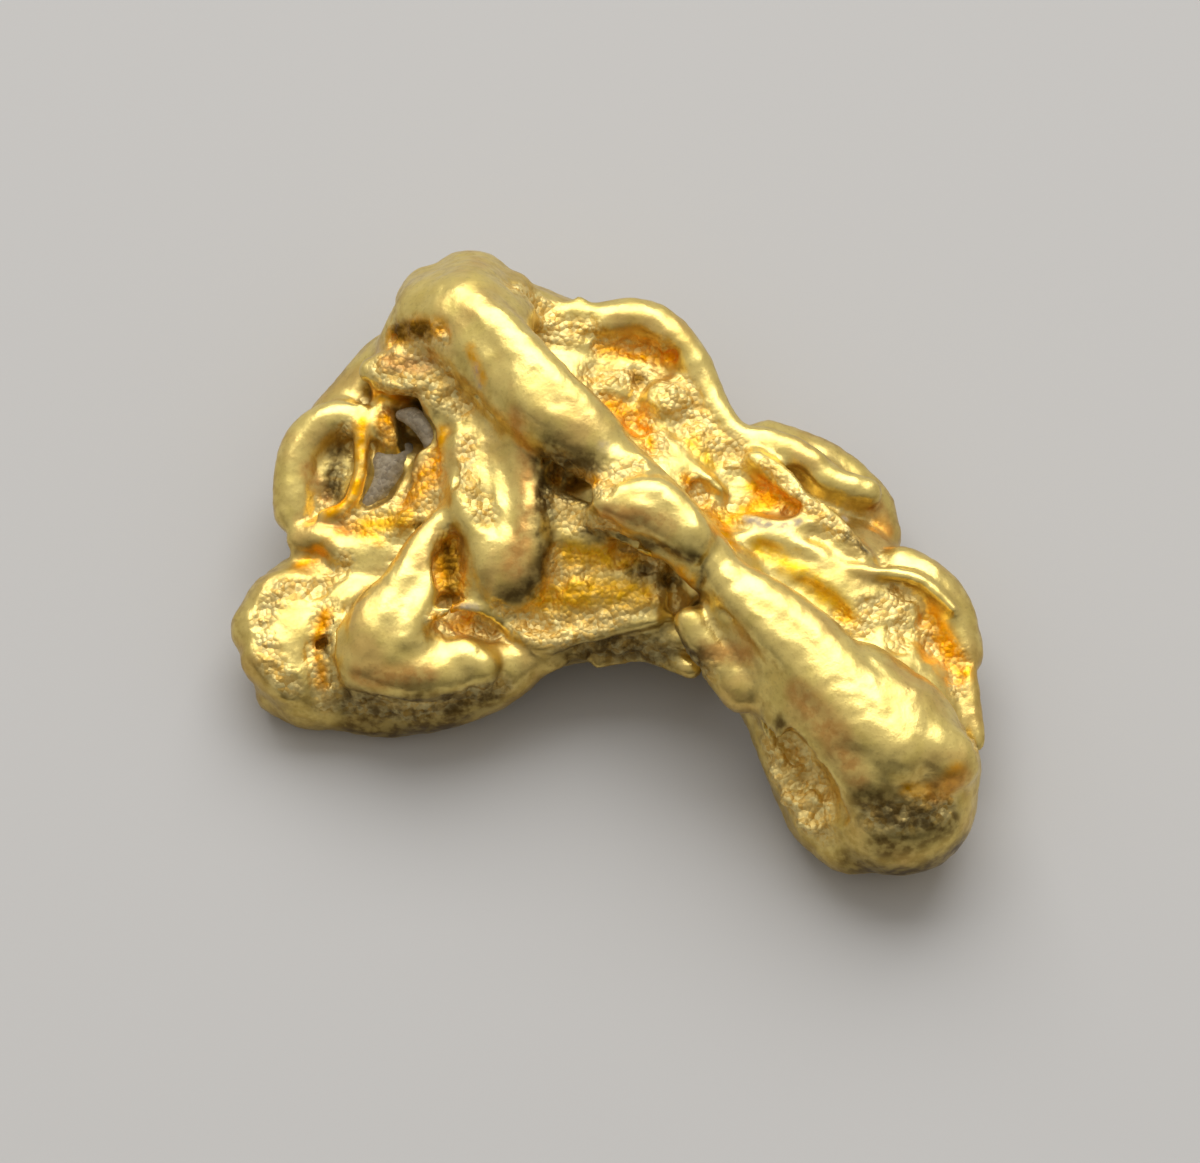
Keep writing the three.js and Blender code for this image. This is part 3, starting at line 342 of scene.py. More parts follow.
SAND = {
    "ledge": ((-3.75, 4.3, 0.45), (-3.15, 4.2, 0.5), (-2.7, 4.1, 0.35)),
    "ledge_low": ((-2.95, 3.75, 0.35), (-2.4, 3.55, 0.3)),
    "rim_valley": ((-4.35, 3.1, 0.25), (-4.6, 2, 0.25)),
    "plateau_top": ((-0.3, 4.15, 0.35), (0.45, 4.1, 0.4)),
    "knuckle_dark": ((-1, 2.55, 0.25), (-0.35, 2.2, 0.25)),
    "pocket_floor": ((-4.2, 1.55, 0.35), (-3.5, 1.55, 0.5), (-3, 1.9, 0.45), (-2.9, 2.5, 0.35)),
    "finger": ((-2.4, 2.95, 0.25), (-2.35, 2.25, 0.3), (-2.05, 1.6, 0.3)),
    "toe_gap": ((-4.65, -0.05, 0.3), (-4.7, -0.95, 0.35), (-4.6, -1.75, 0.35)),
    "trough": ((-1.15, 0.05, 0.4), (-0.2, 0.2, 0.45), (0.85, 0.45, 0.4)),
    "trough_edge": ((-1.9, -0.05, 0.2), (-1.35, -0.45, 0.25), (-0.8, -0.7, 0.25), (0.1, -0.15, 0.25)),
    "knuckle_top": ((-0.85, 2.4, 0.3), (-0.2, 2.25, 0.3), (0.35, 2.5, 0.3)),
    "plateau_crest": ((-1.55, 5.7, 0.35), (-1.05, 5.4, 0.45), (-0.95, 4.9, 0.4), (-0.45, 4.9, 0.35)),
    "plateau_slot": ((-0.2, 4.6, 0.25), (0.85, 4.55, 0.3)),
    "plateau_dip": ((-0.2, 3.75, 0.25), (0.45, 3.4, 0.35), (0.75, 2.85, 0.35)),
    "plateau_sand": ((0.9, 3.9, 0.45), (1.45, 3.1, 0.5), (1.95, 2.65, 0.4)),
    "shoulder_sand": ((1.3, 2.25, 0.3), (1.8, 1.6, 0.35), (2.45, 2.05, 0.3), (3.25, 1.75, 0.3)),
    "shoulder_ridge": ((2.4, 2.55, 0.2), (3, 1.95, 0.2), (3.55, 1.45, 0.25), (4.1, 1.1, 0.2)),
    "lobe_sand": ((4.1, -0.05, 0.35), (4.65, 0.05, 0.4), (4.6, -0.6, 0.3)),
    "lobe_pocket": ((5.05, -0.4, 0.35), (5.5, -0.95, 0.3)),
    "edge": ((5.5, -1.3, 0.25), (5.75, -2.35, 0.25)),
    "limb_end": ((4.1, -3.7, 0.4), (4.65, -3.7, 0.45), (5.25, -3.5, 0.4)),
    "underside": ((-0.35, -0.75, 0.4), (0.6, -0.85, 0.5), (1.4, -1.1, 0.4)),
    "bowl_low": ((3.65, -0.1, 0.25), (4.1, -0.4, 0.2)),
    "ledge_mid": ((-3.65, 3.95, 0.35), (-3, 3.85, 0.35), (-2.6, 3.75, 0.3)),
    "layers": ((-0.6, 0.8, 0.45), (0.1, 0.8, 0.45), (0.75, 0.7, 0.4)),
    "layers_low": ((-0.35, 0.3, 0.45), (0.6, 0.3, 0.4)),
    "pits": ((-3.55, 4.8, 0.4), (-3.15, 4.85, 0.42), (-2.8, 4.8, 0.35)),
    "knuckle": ((-0.9, 1.9, 0.4), (-0.6, 1.55, 0.45), (-0.1, 1.4, 0.35)),
    "toe_crest": ((-5.7, -0.25, 0.25), (-5.35, 0.3, 0.35), (-4.7, 0.3, 0.25), (-4.3, 0.75, 0.25)),
    "blade": ((2.4, -2.5, 0.4), (2.6, -3.05, 0.5), (2.9, -3.55, 0.55), (3.2, -4, 0.5),
        (2.8, -2.55, 0.45), (3.1, -3.15, 0.5), (3.3, -3.65, 0.4)),
    "arc": ((-3.8, 3.8, 0.25), (-3.35, 3.7, 0.3), (-2.95, 3.7, 0.25)),
    "nub": ((-3.65, 3.45, 0.3), (-3.65, 2.95, 0.3)),
    "amber_pit": ((-2.6, 1.1, 0.4), (-2.6, 0.1, 0.4)),
    "trough_left": ((-0.85, 0.8, 0.35), (-0.85, 0.1, 0.35)),
    "foot_arch": ((-2.75, -0.25, 0.3), (-2.35, -0.25, 0.35), (-2.05, -0.4, 0.3)),
    "pocket_slope": ((-3.2, 2.25, 0.45), (-2.9, 2.6, 0.35), (-3.45, 1.9, 0.4)),
    "second_nose": ((-0.2, 2.1, 0.28), (0, 2.25, 0.22)),
    "trough_rim": ((-1.5, -0.25, 0.3), (-0.85, -0.25, 0.35), (-0.2, -0.15, 0.35), (0.45, 0, 0.35)),
    "rim_inner": ((1.15, 4, 0.3), (1.4, 3.5, 0.3), (1.65, 3.05, 0.3)),
    "foot_low": ((-4.2, -1.8, 0.35), (-3.4, -1.9, 0.4), (-2.6, -1.75, 0.35), (-1.8, -1.45, 0.3)),
    "toe_low": ((-5.6, -0.6, 0.3), (-5.4, -1.1, 0.35), (-5.1, -1.45, 0.3)),
}

# Painted bounce light: deep orange laid in the pockets, where light bouncing from gold to gold turns orange.
AMBER_BOUNCE_LIGHT = {
    "nook": ((-4, 3.85, 0.2), (-3.8, 3.7, 0.2)),
    "pocket_nub": ((-3.65, 3.4, 0.3), (-3.65, 2.95, 0.25)),
    "pocket_wall": ((-4.05, 3.3, 0.22), (-4.05, 2.85, 0.22), (-4.1, 2.4, 0.22), (-4.2, 2, 0.2),
        (-4.65, 1.65, 0.18)),
    "pocket_slope": ((-2.75, 3.1, 0.2), (-2.95, 2.4, 0.35), (-3.35, 1.9, 0.3)),
    "ridge_side": ((-2.3, 4.6, 0.15), (-2.15, 4, 0.15)),
    "saddle": ((-5, 0.8, 0.2), (-4.3, 1.45, 0.15), (-3.8, 1.15, 0.15)),
    "pits": ((-3.6, 4.75, 0.25), (-3.2, 4.9, 0.3), (-2.85, 4.95, 0.25)),
    "knuckle_dark": ((-0.85, 2.25, 0.2), (-0.35, 2.25, 0.2)),
    "slot": ((-0.15, 4.6, 0.2), (0.45, 4.55, 0.2), (0.95, 4.45, 0.2)),
    "slot_nick": ((0.35, 4.15, 0.2),),
    "dip": ((0, 3.7, 0.25), (0.3, 3.4, 0.32), (0.55, 2.95, 0.25)),
    "spine_foot": ((1.25, 2.25, 0.25), (1.65, 1.65, 0.25), (1.95, 1.1, 0.2)),
    "shoulder": ((2.25, 2.15, 0.25), (2.9, 1.75, 0.25)),
    "junction": ((1.1, 0.55, 0.2), (1.25, 0.25, 0.2)),
    "lobe_pocket": ((5.05, -0.15, 0.3), (5.55, -1.1, 0.3)),
    "lobe_edge": ((4.3, 1.55, 0.2), (4.45, 1.35, 0.15)),
    "toe_gap": ((-4.65, -0.1, 0.22), (-4.7, -0.6, 0.15), (-4.65, -1.45, 0.18)),
    "amber_pit": ((-2.6, 0.95, 0.25), (-2.6, 0.1, 0.25)),
    "arc": ((-3.9, 3.8, 0.25), (-3.35, 3.65, 0.3)),
    "limb_tip": ((5.45, -2.9, 0.25), (5.25, -3.25, 0.25), (4.65, -3.25, 0.2)),
    "foot_arch": ((-2.75, -0.25, 0.2), (-2.35, -0.2, 0.25)),
}

# Painted shade with some dirt: dark brown laid in creases, pits, under overhangs and on the underside, and a
# brown stain at the limb's end.
SHADE_AND_DIRT = {
    "junction": ((1.4, 0.6, 0.14), (1.25, 0.1, 0.14)),
    "foot_low": ((-4.2, -1.9, 0.6), (-3.65, -2.05, 0.6), (-3, -2.05, 0.6), (-2.45, -1.85, 0.55),
        (-1.9, -1.6, 0.45), (-3.4, -2.25, 0.55), (-4.15, -2.15, 0.5), (-2.7, -2.2, 0.5)),
    "limb_low": ((3.8, -4.5, 0.5), (4.75, -4.7, 0.6), (5.45, -4.3, 0.5)),
    "pits": ((-3.55, 4.85, 0.25), (-3.1, 4.9, 0.28)),
    "nook": ((-4, 3.85, 0.3),),
    "limb_end": ((4, -3.4, 0.5), (4.5, -3.7, 0.65), (5, -3.65, 0.55), (5.35, -3.75, 0.4),
        (4.25, -4.2, 0.5)),
    "toe_hole": ((-4.65, -0.7, 0.25),),
    "knuckle_dark": ((-1, 2.65, 0.3), (-0.35, 2.55, 0.35), (-0.6, 2.2, 0.35)),
    "trough_shade": ((-0.4, 1.25, 0.25), (0.05, 1.15, 0.25), (0.5, 1.05, 0.28), (0.95, 0.95, 0.25),
        (1.3, 0.8, 0.2)),
    "layers": ((0.45, 0.65, 0.3), (0.95, 0.45, 0.3)),
    "underside": ((-0.7, -0.85, 0.5), (-0.05, -0.75, 0.55), (0.6, -0.8, 0.6), (1.25, -0.95, 0.5)),
    "plateau": ((0.45, 4.15, 0.25),),
    "seam": ((3.8, 1.25, 0.14), (4.05, 1.05, 0.12)),
    "blade": ((2.6, -2.05, 0.25),),
    "rim_valley": ((-4.4, 2.75, 0.28), (-4.55, 2.1, 0.32)),
    "ridge_shade": ((-1, 2.8, 0.3), (-0.55, 2.55, 0.35), (-0.9, 2.45, 0.3)),
    "finger_side": ((-1.15, 2.65, 0.22), (-1.05, 2.05, 0.25), (-1, 1.35, 0.25), (-1.1, 0.75, 0.3),
        (-1.35, 0.2, 0.3), (-1.75, 0.15, 0.25)),
    "amber_pit": ((-2.6, 1.05, 0.22), (-2.6, 0.55, 0.2), (-2.6, 0.15, 0.2)),
    "foot_line": ((-4.25, -1.6, 0.25), (-3.75, -1.7, 0.28), (-3.15, -1.7, 0.28), (-2.6, -1.7, 0.28)),
    "recess": ((-0.9, 2.4, 0.25), (-0.55, 2.25, 0.25)),
    "finger_stripe": ((-1.2, 2.5, 0.14), (-1.15, 2.15, 0.15), (-1.15, 1.75, 0.16), (-1.15, 1.3, 0.17)),
}

# Painted bounce light: strong yellow laid in the bowls and troughs, where light bouncing from gold to gold
# turns yellow.
YELLOW_BOUNCE_LIGHT = {
    "bowl": ((-1.1, 0.1, 0.4), (-0.45, 0.2, 0.5), (0.45, 0.3, 0.35)),
    "layers": ((-0.7, 0.9, 0.35), (0.1, 0.9, 0.35), (0.65, 0.8, 0.25)),
    "trough": ((2.3, 1.1, 0.22), (3.1, 0.45, 0.3), (3.75, -0.1, 0.25)),
    "plateau": ((1.25, 2.95, 0.22), (1.6, 2.55, 0.22)),
    "shoulder": ((1.8, 1.6, 0.3), (2.5, 1.9, 0.3)),
    "pocket": ((-3.4, 1.65, 0.35), (-4.05, 1.45, 0.25)),
    "amber_pit": ((-2.6, 1.1, 0.35), (-2.6, 0.45, 0.4), (-2.6, 0.1, 0.3)),
}

FILM = {
    "foot": ((-2.5, 0, 0.1), (-2.15, 0, 0.1)),
    "spine": ((-0.1, 2.8, 0.15),),
    "shoulder": ((2.1, 1.55, 0.14), (2.55, 1.45, 0.15), (3, 1.55, 0.1)),
    "seam": ((3.75, 1.6, 0.12),),
    "ridge_foot": ((-2.25, 4.2, 0.1), (-2.2, 3.9, 0.1)),
    "dip": ((0.5, 3.7, 0.07),),
}

TINT = {
    "limb": ((2.85, -1.45, 0.35), (3.4, -2.25, 0.4), (3.8, -2.95, 0.3)),
    "limb_left": ((1.45, -0.75, 0.3), (2.05, -0.85, 0.3)),
    "limb_tip": ((5.15, -3.25, 0.35), (5.5, -3.05, 0.35)),
    "finger": ((-1.55, 3.3, 0.24), (-1.45, 2.75, 0.27), (-1.4, 2.15, 0.27), (-1.4, 1.55, 0.27),
        (-1.6, 0.75, 0.35)),
    "saddle": ((-5, 1.55, 0.2), (-4.2, 1.35, 0.25)),
    "foot": ((-4.05, -1.3, 0.3), (-2.95, -1.15, 0.3)),
    "rim": ((-4.85, 2.4, 0.25), (-4.7, 1.9, 0.2)),
    "ledge": ((-3.65, 4.45, 0.25), (-3.1, 4.35, 0.25)),
    "lobe": ((4.35, 1.7, 0.25), (4.45, 1.35, 0.2)),
    "second_ridge": ((-0.2, 1.6, 0.25), (0.25, 1.55, 0.3), (0.75, 1.4, 0.3)),
}

# --- Finish, in millimetres ----------------------------------------------------------------------------

CUTTER_LUMP_SIZE = 0.3  # unevenness of what the pockets and creases are cut with
CUTTER_LUMP_HEIGHT = 0.09
ROCK_STEP = 0.03
ROCK_RUBS = 3
MOST_TRIANGLES = 199_000

HOLLOW_RUBS = 40  # rubbing that a hollow is measured against
HOLLOW_RANGE = (0.0, 0.09)  # depth at which a hollow starts to show, and at which it is full
HOLLOW_SAND = 0.5  # how sandy a full hollow is
ZONE_EDGE = 0.8  # share of a zone's radius over which it fades
EYE_RISE = 65  # degrees above the bench that the eye, and the camera, look down from
MARK_REACH = 0.05  # how far off its line of sight a mark may land
TINY = 1e-9  # keeps a zone of one mark from dividing by nothing
GROUP_STEPS = 10  # steps of weight in a vertex group

# Zones of painted bounce light, of painted shade with some dirt, of a mineral film and of a coppery tint.
ZONES = {"amber_bounce_light": AMBER_BOUNCE_LIGHT, "shade_and_dirt": SHADE_AND_DIRT, "yellow_bounce_light": YELLOW_BOUNCE_LIGHT, "film": FILM, "tint": TINT}
FLANK_SHADE_RANGE = (0.92, 0.3)  # upness at which the painted shade of a flank starts, and at which it is full
LOW_SHADE_RANGE = (2.2, 0.5)  # height at which the painted shade of the foot starts, and at which it is full
FLANK_SHADE_SHARE = 0.6  # how much of the painted shade comes from facing aside; the rest comes from lying low
RAISE_MIDDLE = 0.5  # a relief pattern's value that leaves the surface where it is
CUTTER_DETAIL = 1  # how often the clouds of each relief are broken up further
DENT_DETAIL = 1
LUMP_DETAIL = 2

PRICK_SIZE = 0.14  # fine unevenness of the worn gold
PRICK_HEIGHT = 0.02
KNOCK_SIZE = 0.36  # small knocks from gravel
KNOCK_HEIGHT = 0.035
CLOUD_SIZE = 0.9  # broad drifts of colour
PATCH_SIZE = 0.42  # patches of more and less rubbed gold
MOTTLE_SIZE = 0.16  # small blots
SPECKLE_SIZE = 0.06  # scratches and pricks, drawn coarser than they are so that they show
SPECKLE_HEIGHT = 0.004
GRIT_SIZE = 0.09  # the finest grains that show
GRIT_HEIGHT = 0.03
NOISE_DETAIL = 3
MOTTLE_SHARE = 0.55  # how much of the break-up of a mark is small blots; the rest is broad patches
BLOT_EDGE = (0.41, 0.59)  # where in the break-up a blot starts, and where it is full
ANYWHERE = (0, 1)
GRAIN_METRIC = "MANHATTAN"  # gives the grains flat faces

CREST_ROUGHNESS = (0.32, 0.42)  # most and least rubbed crests
CREST_PATCHES = (0.35, 0.7)  # where in the patches the first of those ends and the second starts
SAND_ROUGHNESS = 0.24  # how much rougher the sandy gold is
FILM_ROUGHNESS = 0.4  # how much rougher the mineral film is

# The gold's colours, laid over the crest colour in this order. Each is the colour, the mark that it is laid
# on or None for the whole nugget, the pattern that breaks it up, where in the pattern it starts and where it
# is full, and how much shows before the one and after the other.
GOLD_LAYERS = (
    ("tint_colour", None, "clouds", (0.45, 0.7), (0, 0.4)),
    ("olive_colour", None, "patches", (0.45, 0.7), (0, 0.4)),
    # painted shade: darker gold on steep flanks and low down
    ("flank_shade_colour", "flank_shade", "breakup", (-0.25, 1.25), (0.25, 0.95)),
    # painted shade: darker gold in the hollows
    ("hollow_shade_colour", "hollow", "breakup", ANYWHERE, (0.8, 0.8)),
    ("sand_colour", "rough", "breakup", ANYWHERE, (0.75, 0.75)),
    # painted bounce light: strong yellow in the bowls and troughs
    ("yellow_bounce_light_colour", "yellow_bounce_light", "breakup", BLOT_EDGE, (0.6, 0.95)),
    # painted bounce light: deep orange in the pockets
    ("amber_bounce_light_colour", "amber_bounce_light", "breakup", BLOT_EDGE, (0.5, 1)),
    ("tint_colour", "tint", "breakup", BLOT_EDGE, (0.35, 0.8)),
    # painted shade: small dark blots that gather on the shaded flanks
    ("flank_shade_colour", "lee_shade", "mottle", (0.42, 0.66), (0, 0.35)),
    # painted shade with some dirt: dark brown in creases, pits and under overhangs
    ("shade_and_dirt_colour", "shade_and_dirt", "breakup", BLOT_EDGE, (0.5, 0.85)),
    ("film_colour", "film", "breakup", BLOT_EDGE, (0.15, 0.8)),
    ("shade_and_dirt_colour", None, "speckle", (0.5, 0.75), (0, 0.14)),
)
LEE_FLANK_SHADE = (0, 0.6)  # the painted flank shade at which small dark blots start to gather, and at which they are full
LEE_SHADE_SHARE = (0.2, 1)  # how many of them show on a crest, and on such a shaded flank

ROCK_GRAIN_SIZE = 0.06
ROCK_GRAIN_HEIGHT = 0.01
ROCK_GRAIN_BUMP = 0.8
ROCK_CLOUD_SIZE = 0.3
ROCK_CLOUD_SHARE = 0.5  # how much of the rock's tone is broad drifts; the rest is grains
ROCK_ROUGHNESS = 0.6
CARD_ROUGHNESS = 0.9

FLOOR_SIDE = 3.0  # metres, as are the camera's near and far limits
ROOM_BRIGHT_WAY = (0, 0.35, 1)  # towards the pale side of the room
ROOM_FADE = (-0.1, 1.0)  # how far that way the room starts to grow pale, and where it is palest
ROOM_SIDES = 0.5  # how much paler the two sides are
CAMERA_NEAR = 0.001
CAMERA_FAR = 10.0
VIEW_CENTRE = (-0.208, -0.439, 1.888)  # what the camera looks at

# --- Workbench -----------------------------------------------------------------------------------------


def deselect():
    """Leaves edit mode and lets go of everything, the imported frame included."""
    if bpy.context.object and bpy.context.object.mode != "OBJECT":
        bpy.ops.object.mode_set(mode="OBJECT")
    bpy.ops.object.select_all(action="DESELECT")


def pick(*pieces):
    """Selects these pieces and makes the first one active."""
    deselect()
    for piece in pieces:
        piece.select_set(True)
    bpy.context.view_layer.objects.active = pieces[0]


def joined(pieces):
    pick(*pieces)
    if len(pieces) > 1:
        bpy.ops.object.join()
    return bpy.context.object


def modified(piece, kind, **settings):
    """Adds one modifier with its settings and applies it."""
    pick(piece)
    bpy.ops.object.modifier_add(type=kind)
    modifier = piece.modifiers[-1]
    for name, value in settings.items():
        setattr(modifier, name, value)
    bpy.ops.object.modifier_apply(modifier=modifier.name)
    return piece


def remeshed(piece, step):
    """Melts all that overlaps into one skin of even squares."""
    return modified(piece, "REMESH", mode="VOXEL", voxel_size=step, adaptivity=0)


def outer_skin(piece):
    """Throws away the skins of sealed bubbles left inside where pieces melted together."""
    pick(piece)
    bpy.ops.mesh.separate(type="LOOSE")
    parts = sorted(bpy.context.selected_objects, key=lambda part: len(part.data.vertices))
    for bubble in parts[:-1]:
        bpy.data.objects.remove(bubble)
    return parts[-1]


def rubbed(piece, rubs, factor=0.5):
    """Rubs the surface down, which rounds edges and fills creases."""
    return modified(piece, "SMOOTH", factor=factor, iterations=rubs)


def carved(piece, cutter):
    """Takes the cutter away from the piece."""
    modified(piece, "BOOLEAN", operation="DIFFERENCE", object=cutter, solver="MANIFOLD")
    bpy.data.objects.remove(cutter)
    return piece


def ball(centre, radius):
    deselect()
    bpy.ops.mesh.primitive_uv_sphere_add(segments=BALL_SIDES, ring_count=BALL_RINGS, radius=radius,
                                         location=centre)
    bpy.ops.object.transform_apply(location=True, rotation=False, scale=False)
    return bpy.context.object


def knob(centre, half_sizes, turn):
    """An oval knob, turned about the vertical."""
    deselect()
    bpy.ops.mesh.primitive_uv_sphere_add(segments=KNOB_SIDES, ring_count=KNOB_RINGS, radius=1,
                                         location=centre)
    piece = bpy.context.object
    piece.scale = half_sizes
    piece.rotation_euler.z = math.radians(turn)
    bpy.ops.object.transform_apply(location=True, rotation=True, scale=True)
    return piece


def strand(points):
    """A smooth line through the points, as thick as each one says, with a ball at either end."""
    deselect()
    bpy.ops.curve.primitive_bezier_curve_add(location=(0, 0, 0))
    line = bpy.context.object
    bpy.ops.object.mode_set(mode="EDIT")
    bpy.ops.curve.select_all(action="SELECT")
    bpy.ops.curve.delete(type="VERT")
    for x, y, z, radius in points:
        bpy.ops.curve.vertex_add(location=(x, y, z))
        bpy.ops.curve.radius_set(radius=radius)
    bpy.ops.curve.select_all(action="SELECT")
    bpy.ops.curve.handle_type_set(type="AUTOMATIC")
    bpy.ops.object.mode_set(mode="OBJECT")
    line.data.dimensions = "3D"
    line.data.bevel_depth = 1
    line.data.bevel_resolution = STRAND_BEVEL
    line.data.resolution_u = STRAND_STEPS
    line.data.use_fill_caps = True
    bpy.ops.object.convert(target="MESH")
    ends = [ball(point[:3], point[3]) for point in (points[0], points[-1])]
    return joined([line, *ends])


def raised(piece, kind, size, height, group="", **settings):
    """Raises and sinks the surface by a natural pattern of this size and height, where the group says."""
    pattern = bpy.data.textures.new("relief", kind)
    pattern.noise_scale = size
    for name, value in settings.items():
        setattr(pattern, name, value)
    modified(piece, "DISPLACE", texture=pattern, texture_coords="LOCAL", direction="NORMAL", strength=height,
             mid_level=RAISE_MIDDLE, vertex_group=group)
    bpy.data.textures.remove(pattern)
    return piece


def seated(piece):
    """Cuts the underside flat where it would pass below the surface that it rests on."""
    pick(piece)
    bpy.ops.object.mode_set(mode="EDIT")
    bpy.ops.mesh.select_all(action="SELECT")
    bpy.ops.mesh.bisect(plane_co=(0, 0, 0), plane_no=(0, 0, 1), clear_inner=True, use_fill=True)
    bpy.ops.object.mode_set(mode="OBJECT")
    return piece


def finished(piece, name, material):
    """Names a piece modelled in millimetres, brings it to its real size and gives it its material."""
    pick(piece)
    piece.name = name
    bpy.ops.transform.resize(value=(MM, MM, MM), center_override=(0, 0, 0))
    bpy.ops.object.transform_apply(location=True, rotation=True, scale=True)
    bpy.ops.object.shade_smooth()
    piece.data.materials.clear()
    piece.data.materials.append(material)
    require_closed(piece)
    return piece


def of_points(piece, what):
    """What each point of the mesh has under this name, its place "co" or its "normal", as rows of three."""
    values = np.empty(len(piece.data.vertices) * 3, np.float32)
    piece.data.vertices.foreach_get(what, values)
    return values.reshape(-1, 3).astype(float)


def eased(values, start, end):
    """0 short of the start, 1 past the end and a smooth step between them, whichever is the greater."""
    share = np.clip((values - start) / (end - start), 0, 1)
    return share * share * (3 - 2 * share)


def laid(places, mark):
    """Where a mark lands on the gold: the point nearest the eye on the mark's line of sight."""
    x, y, radius = mark
    tilt = math.radians(EYE_RISE)
    back = (places[:, 1] - y) * math.sin(tilt) + places[:, 2] * math.cos(tilt)
    gap = np.hypot(places[:, 0] - x, back)
    nearer = places[:, 2] * math.sin(tilt) - places[:, 1] * math.cos(tilt)
    spot = places[np.argmax(np.where(gap < gap.min() + MARK_REACH, nearer, -np.inf))]
    return (*spot, radius)


def nearness(places, zones):
    """1 along the middle of the zones, easing to 0 at their edges."""
    most = np.zeros(len(places))
    for marks in zones.values():
        points = [laid(places, mark) for mark in marks]
        for start, end in zip(points, points[1:] or points):
            first = np.array(start[:3])
            along = np.array(end[:3]) - first
            share = np.clip((places - first) @ along / max(along @ along, TINY), 0, 1)
            gap = np.linalg.norm(places - first - share[:, None] * along, axis=1)
            radius = start[3] + share * (end[3] - start[3])
            most = np.maximum(most, 1 - gap / radius)
    return eased(most, 0, ZONE_EDGE)


def hollowness(piece, rubs):
    """How far each point lies below the skin that heavy rubbing would leave; crests are below 0."""
    pick(piece)
    bpy.ops.object.duplicate()
    over = rubbed(bpy.context.object, rubs, 1)
    depth = ((of_points(over, "co") - of_points(piece, "co")) * of_points(piece, "normal")).sum(axis=1)
    bpy.data.objects.remove(over)
    return depth


def set_group(piece, name, weights):
    """A vertex group for the modifiers, in even steps of weight."""
    group = piece.vertex_groups.new(name=name)
    for step in range(1, GROUP_STEPS + 1):
        members = np.flatnonzero(np.round(weights * GROUP_STEPS) == step)
        group.add(members.tolist(), step / GROUP_STEPS, "REPLACE")


def set_attribute(piece, name, values):
    """A value per point that the material reads."""
    attribute = piece.data.attributes.new(name, "FLOAT", "POINT")
    attribute.data.foreach_set("value", values.astype(np.float32))


def require_closed(piece):
    """Stops the script if the finished skin has a hole in it or is too heavy to export whole."""
    loose = [edge for edge in piece.data.edges if edge.is_loose]
    uses = np.zeros(len(piece.data.edges), int)
    for loop in piece.data.loops:
        uses[loop.edge_index] += 1
    if loose or np.any(uses != 2):
        raise RuntimeError(f"{piece.name} is not one closed skin")
    triangles = sum(len(face.vertices) - 2 for face in piece.data.polygons)
    if triangles > MOST_TRIANGLES:
        raise RuntimeError(f"{piece.name} has {triangles} triangles, more than {MOST_TRIANGLES}")


# --- Colours and nodes ---------------------------------------------------------------------------------


def linear(code):
    """An sRGB hex colour as linear red, green and blue."""
    channels = (int(code[i:i + 2], 16) / 255 for i in (1, 3, 5))
    return tuple(c / 12.92 if c <= 0.04045 else ((c + 0.055) / 1.055) ** 2.4 for c in channels)


def spread(value, where, shares):
    """The inputs that turn a value between two places into a share between two others."""
    return {"Value": value, 1: where[0], 2: where[1], 3: shares[0], 4: shares[1]}


def per(size):
    """The scale that gives a pattern this size, in millimetres."""
    return 1 / (size * MM)


def feed(tree, node, inputs):
    """Gives each input of a node a value, or a link where it is another node's output."""
    for name, value in inputs.items():
        if isinstance(value, bpy.types.NodeSocket):
            tree.links.new(value, node.inputs[name])
        else:
            node.inputs[name].default_value = value


def add(tree, kind, inputs, output=0, **settings):
    """Adds a node with its settings and links, and returns the output asked for."""
    node = tree.nodes.new(kind)
    for name, value in settings.items():
        setattr(node, name, value)
    feed(tree, node, inputs)
    return node.outputs[output]


def new_material(name):
    """A new material, its node tree and its shader."""
    material = bpy.data.materials.new(name)
    material.use_nodes = True
    return material, material.node_tree, material.node_tree.nodes["Principled BSDF"]


# --- The gold ------------------------------------------------------------------------------------------


def rough_body():
    """Limbs and bulk, grown together and rubbed round where they meet."""
    pieces = [strand(points) for points in LIMBS.values()]
    pieces += [knob(*values) for values in BULK.values()]
    return rubbed(outer_skin(remeshed(joined(pieces), BODY_STEP)), BODY_RUBS)


def folded(body):
    """Lays the folds and small knobs over the body."""
    pieces = [strand(points) for points in FOLDS.values()]
    pieces += [knob(*values) for values in KNOBS.values()]
    return rubbed(outer_skin(remeshed(joined([body, *pieces]), FOLD_STEP)), FOLD_RUBS)


def pocketed(body):
    """Sinks the pockets and draws the creases between the folds."""
    cutters = [knob(*values) for values in POCKETS.values()]
    cutters += [strand(points) for points in CREASES.values()]
    cutter = remeshed(joined(cutters), CUTTER_STEP)
    raised(cutter, "CLOUDS", CUTTER_LUMP_SIZE, CUTTER_LUMP_HEIGHT, noise_depth=CUTTER_DETAIL)
    return carved(body, remeshed(cutter, CUTTER_STEP))


def layered(body):
    """Lays the thin ridges and leaves of gold over the carved body."""
    return joined([body, *(strand(points) for points in LAYERS.values())])


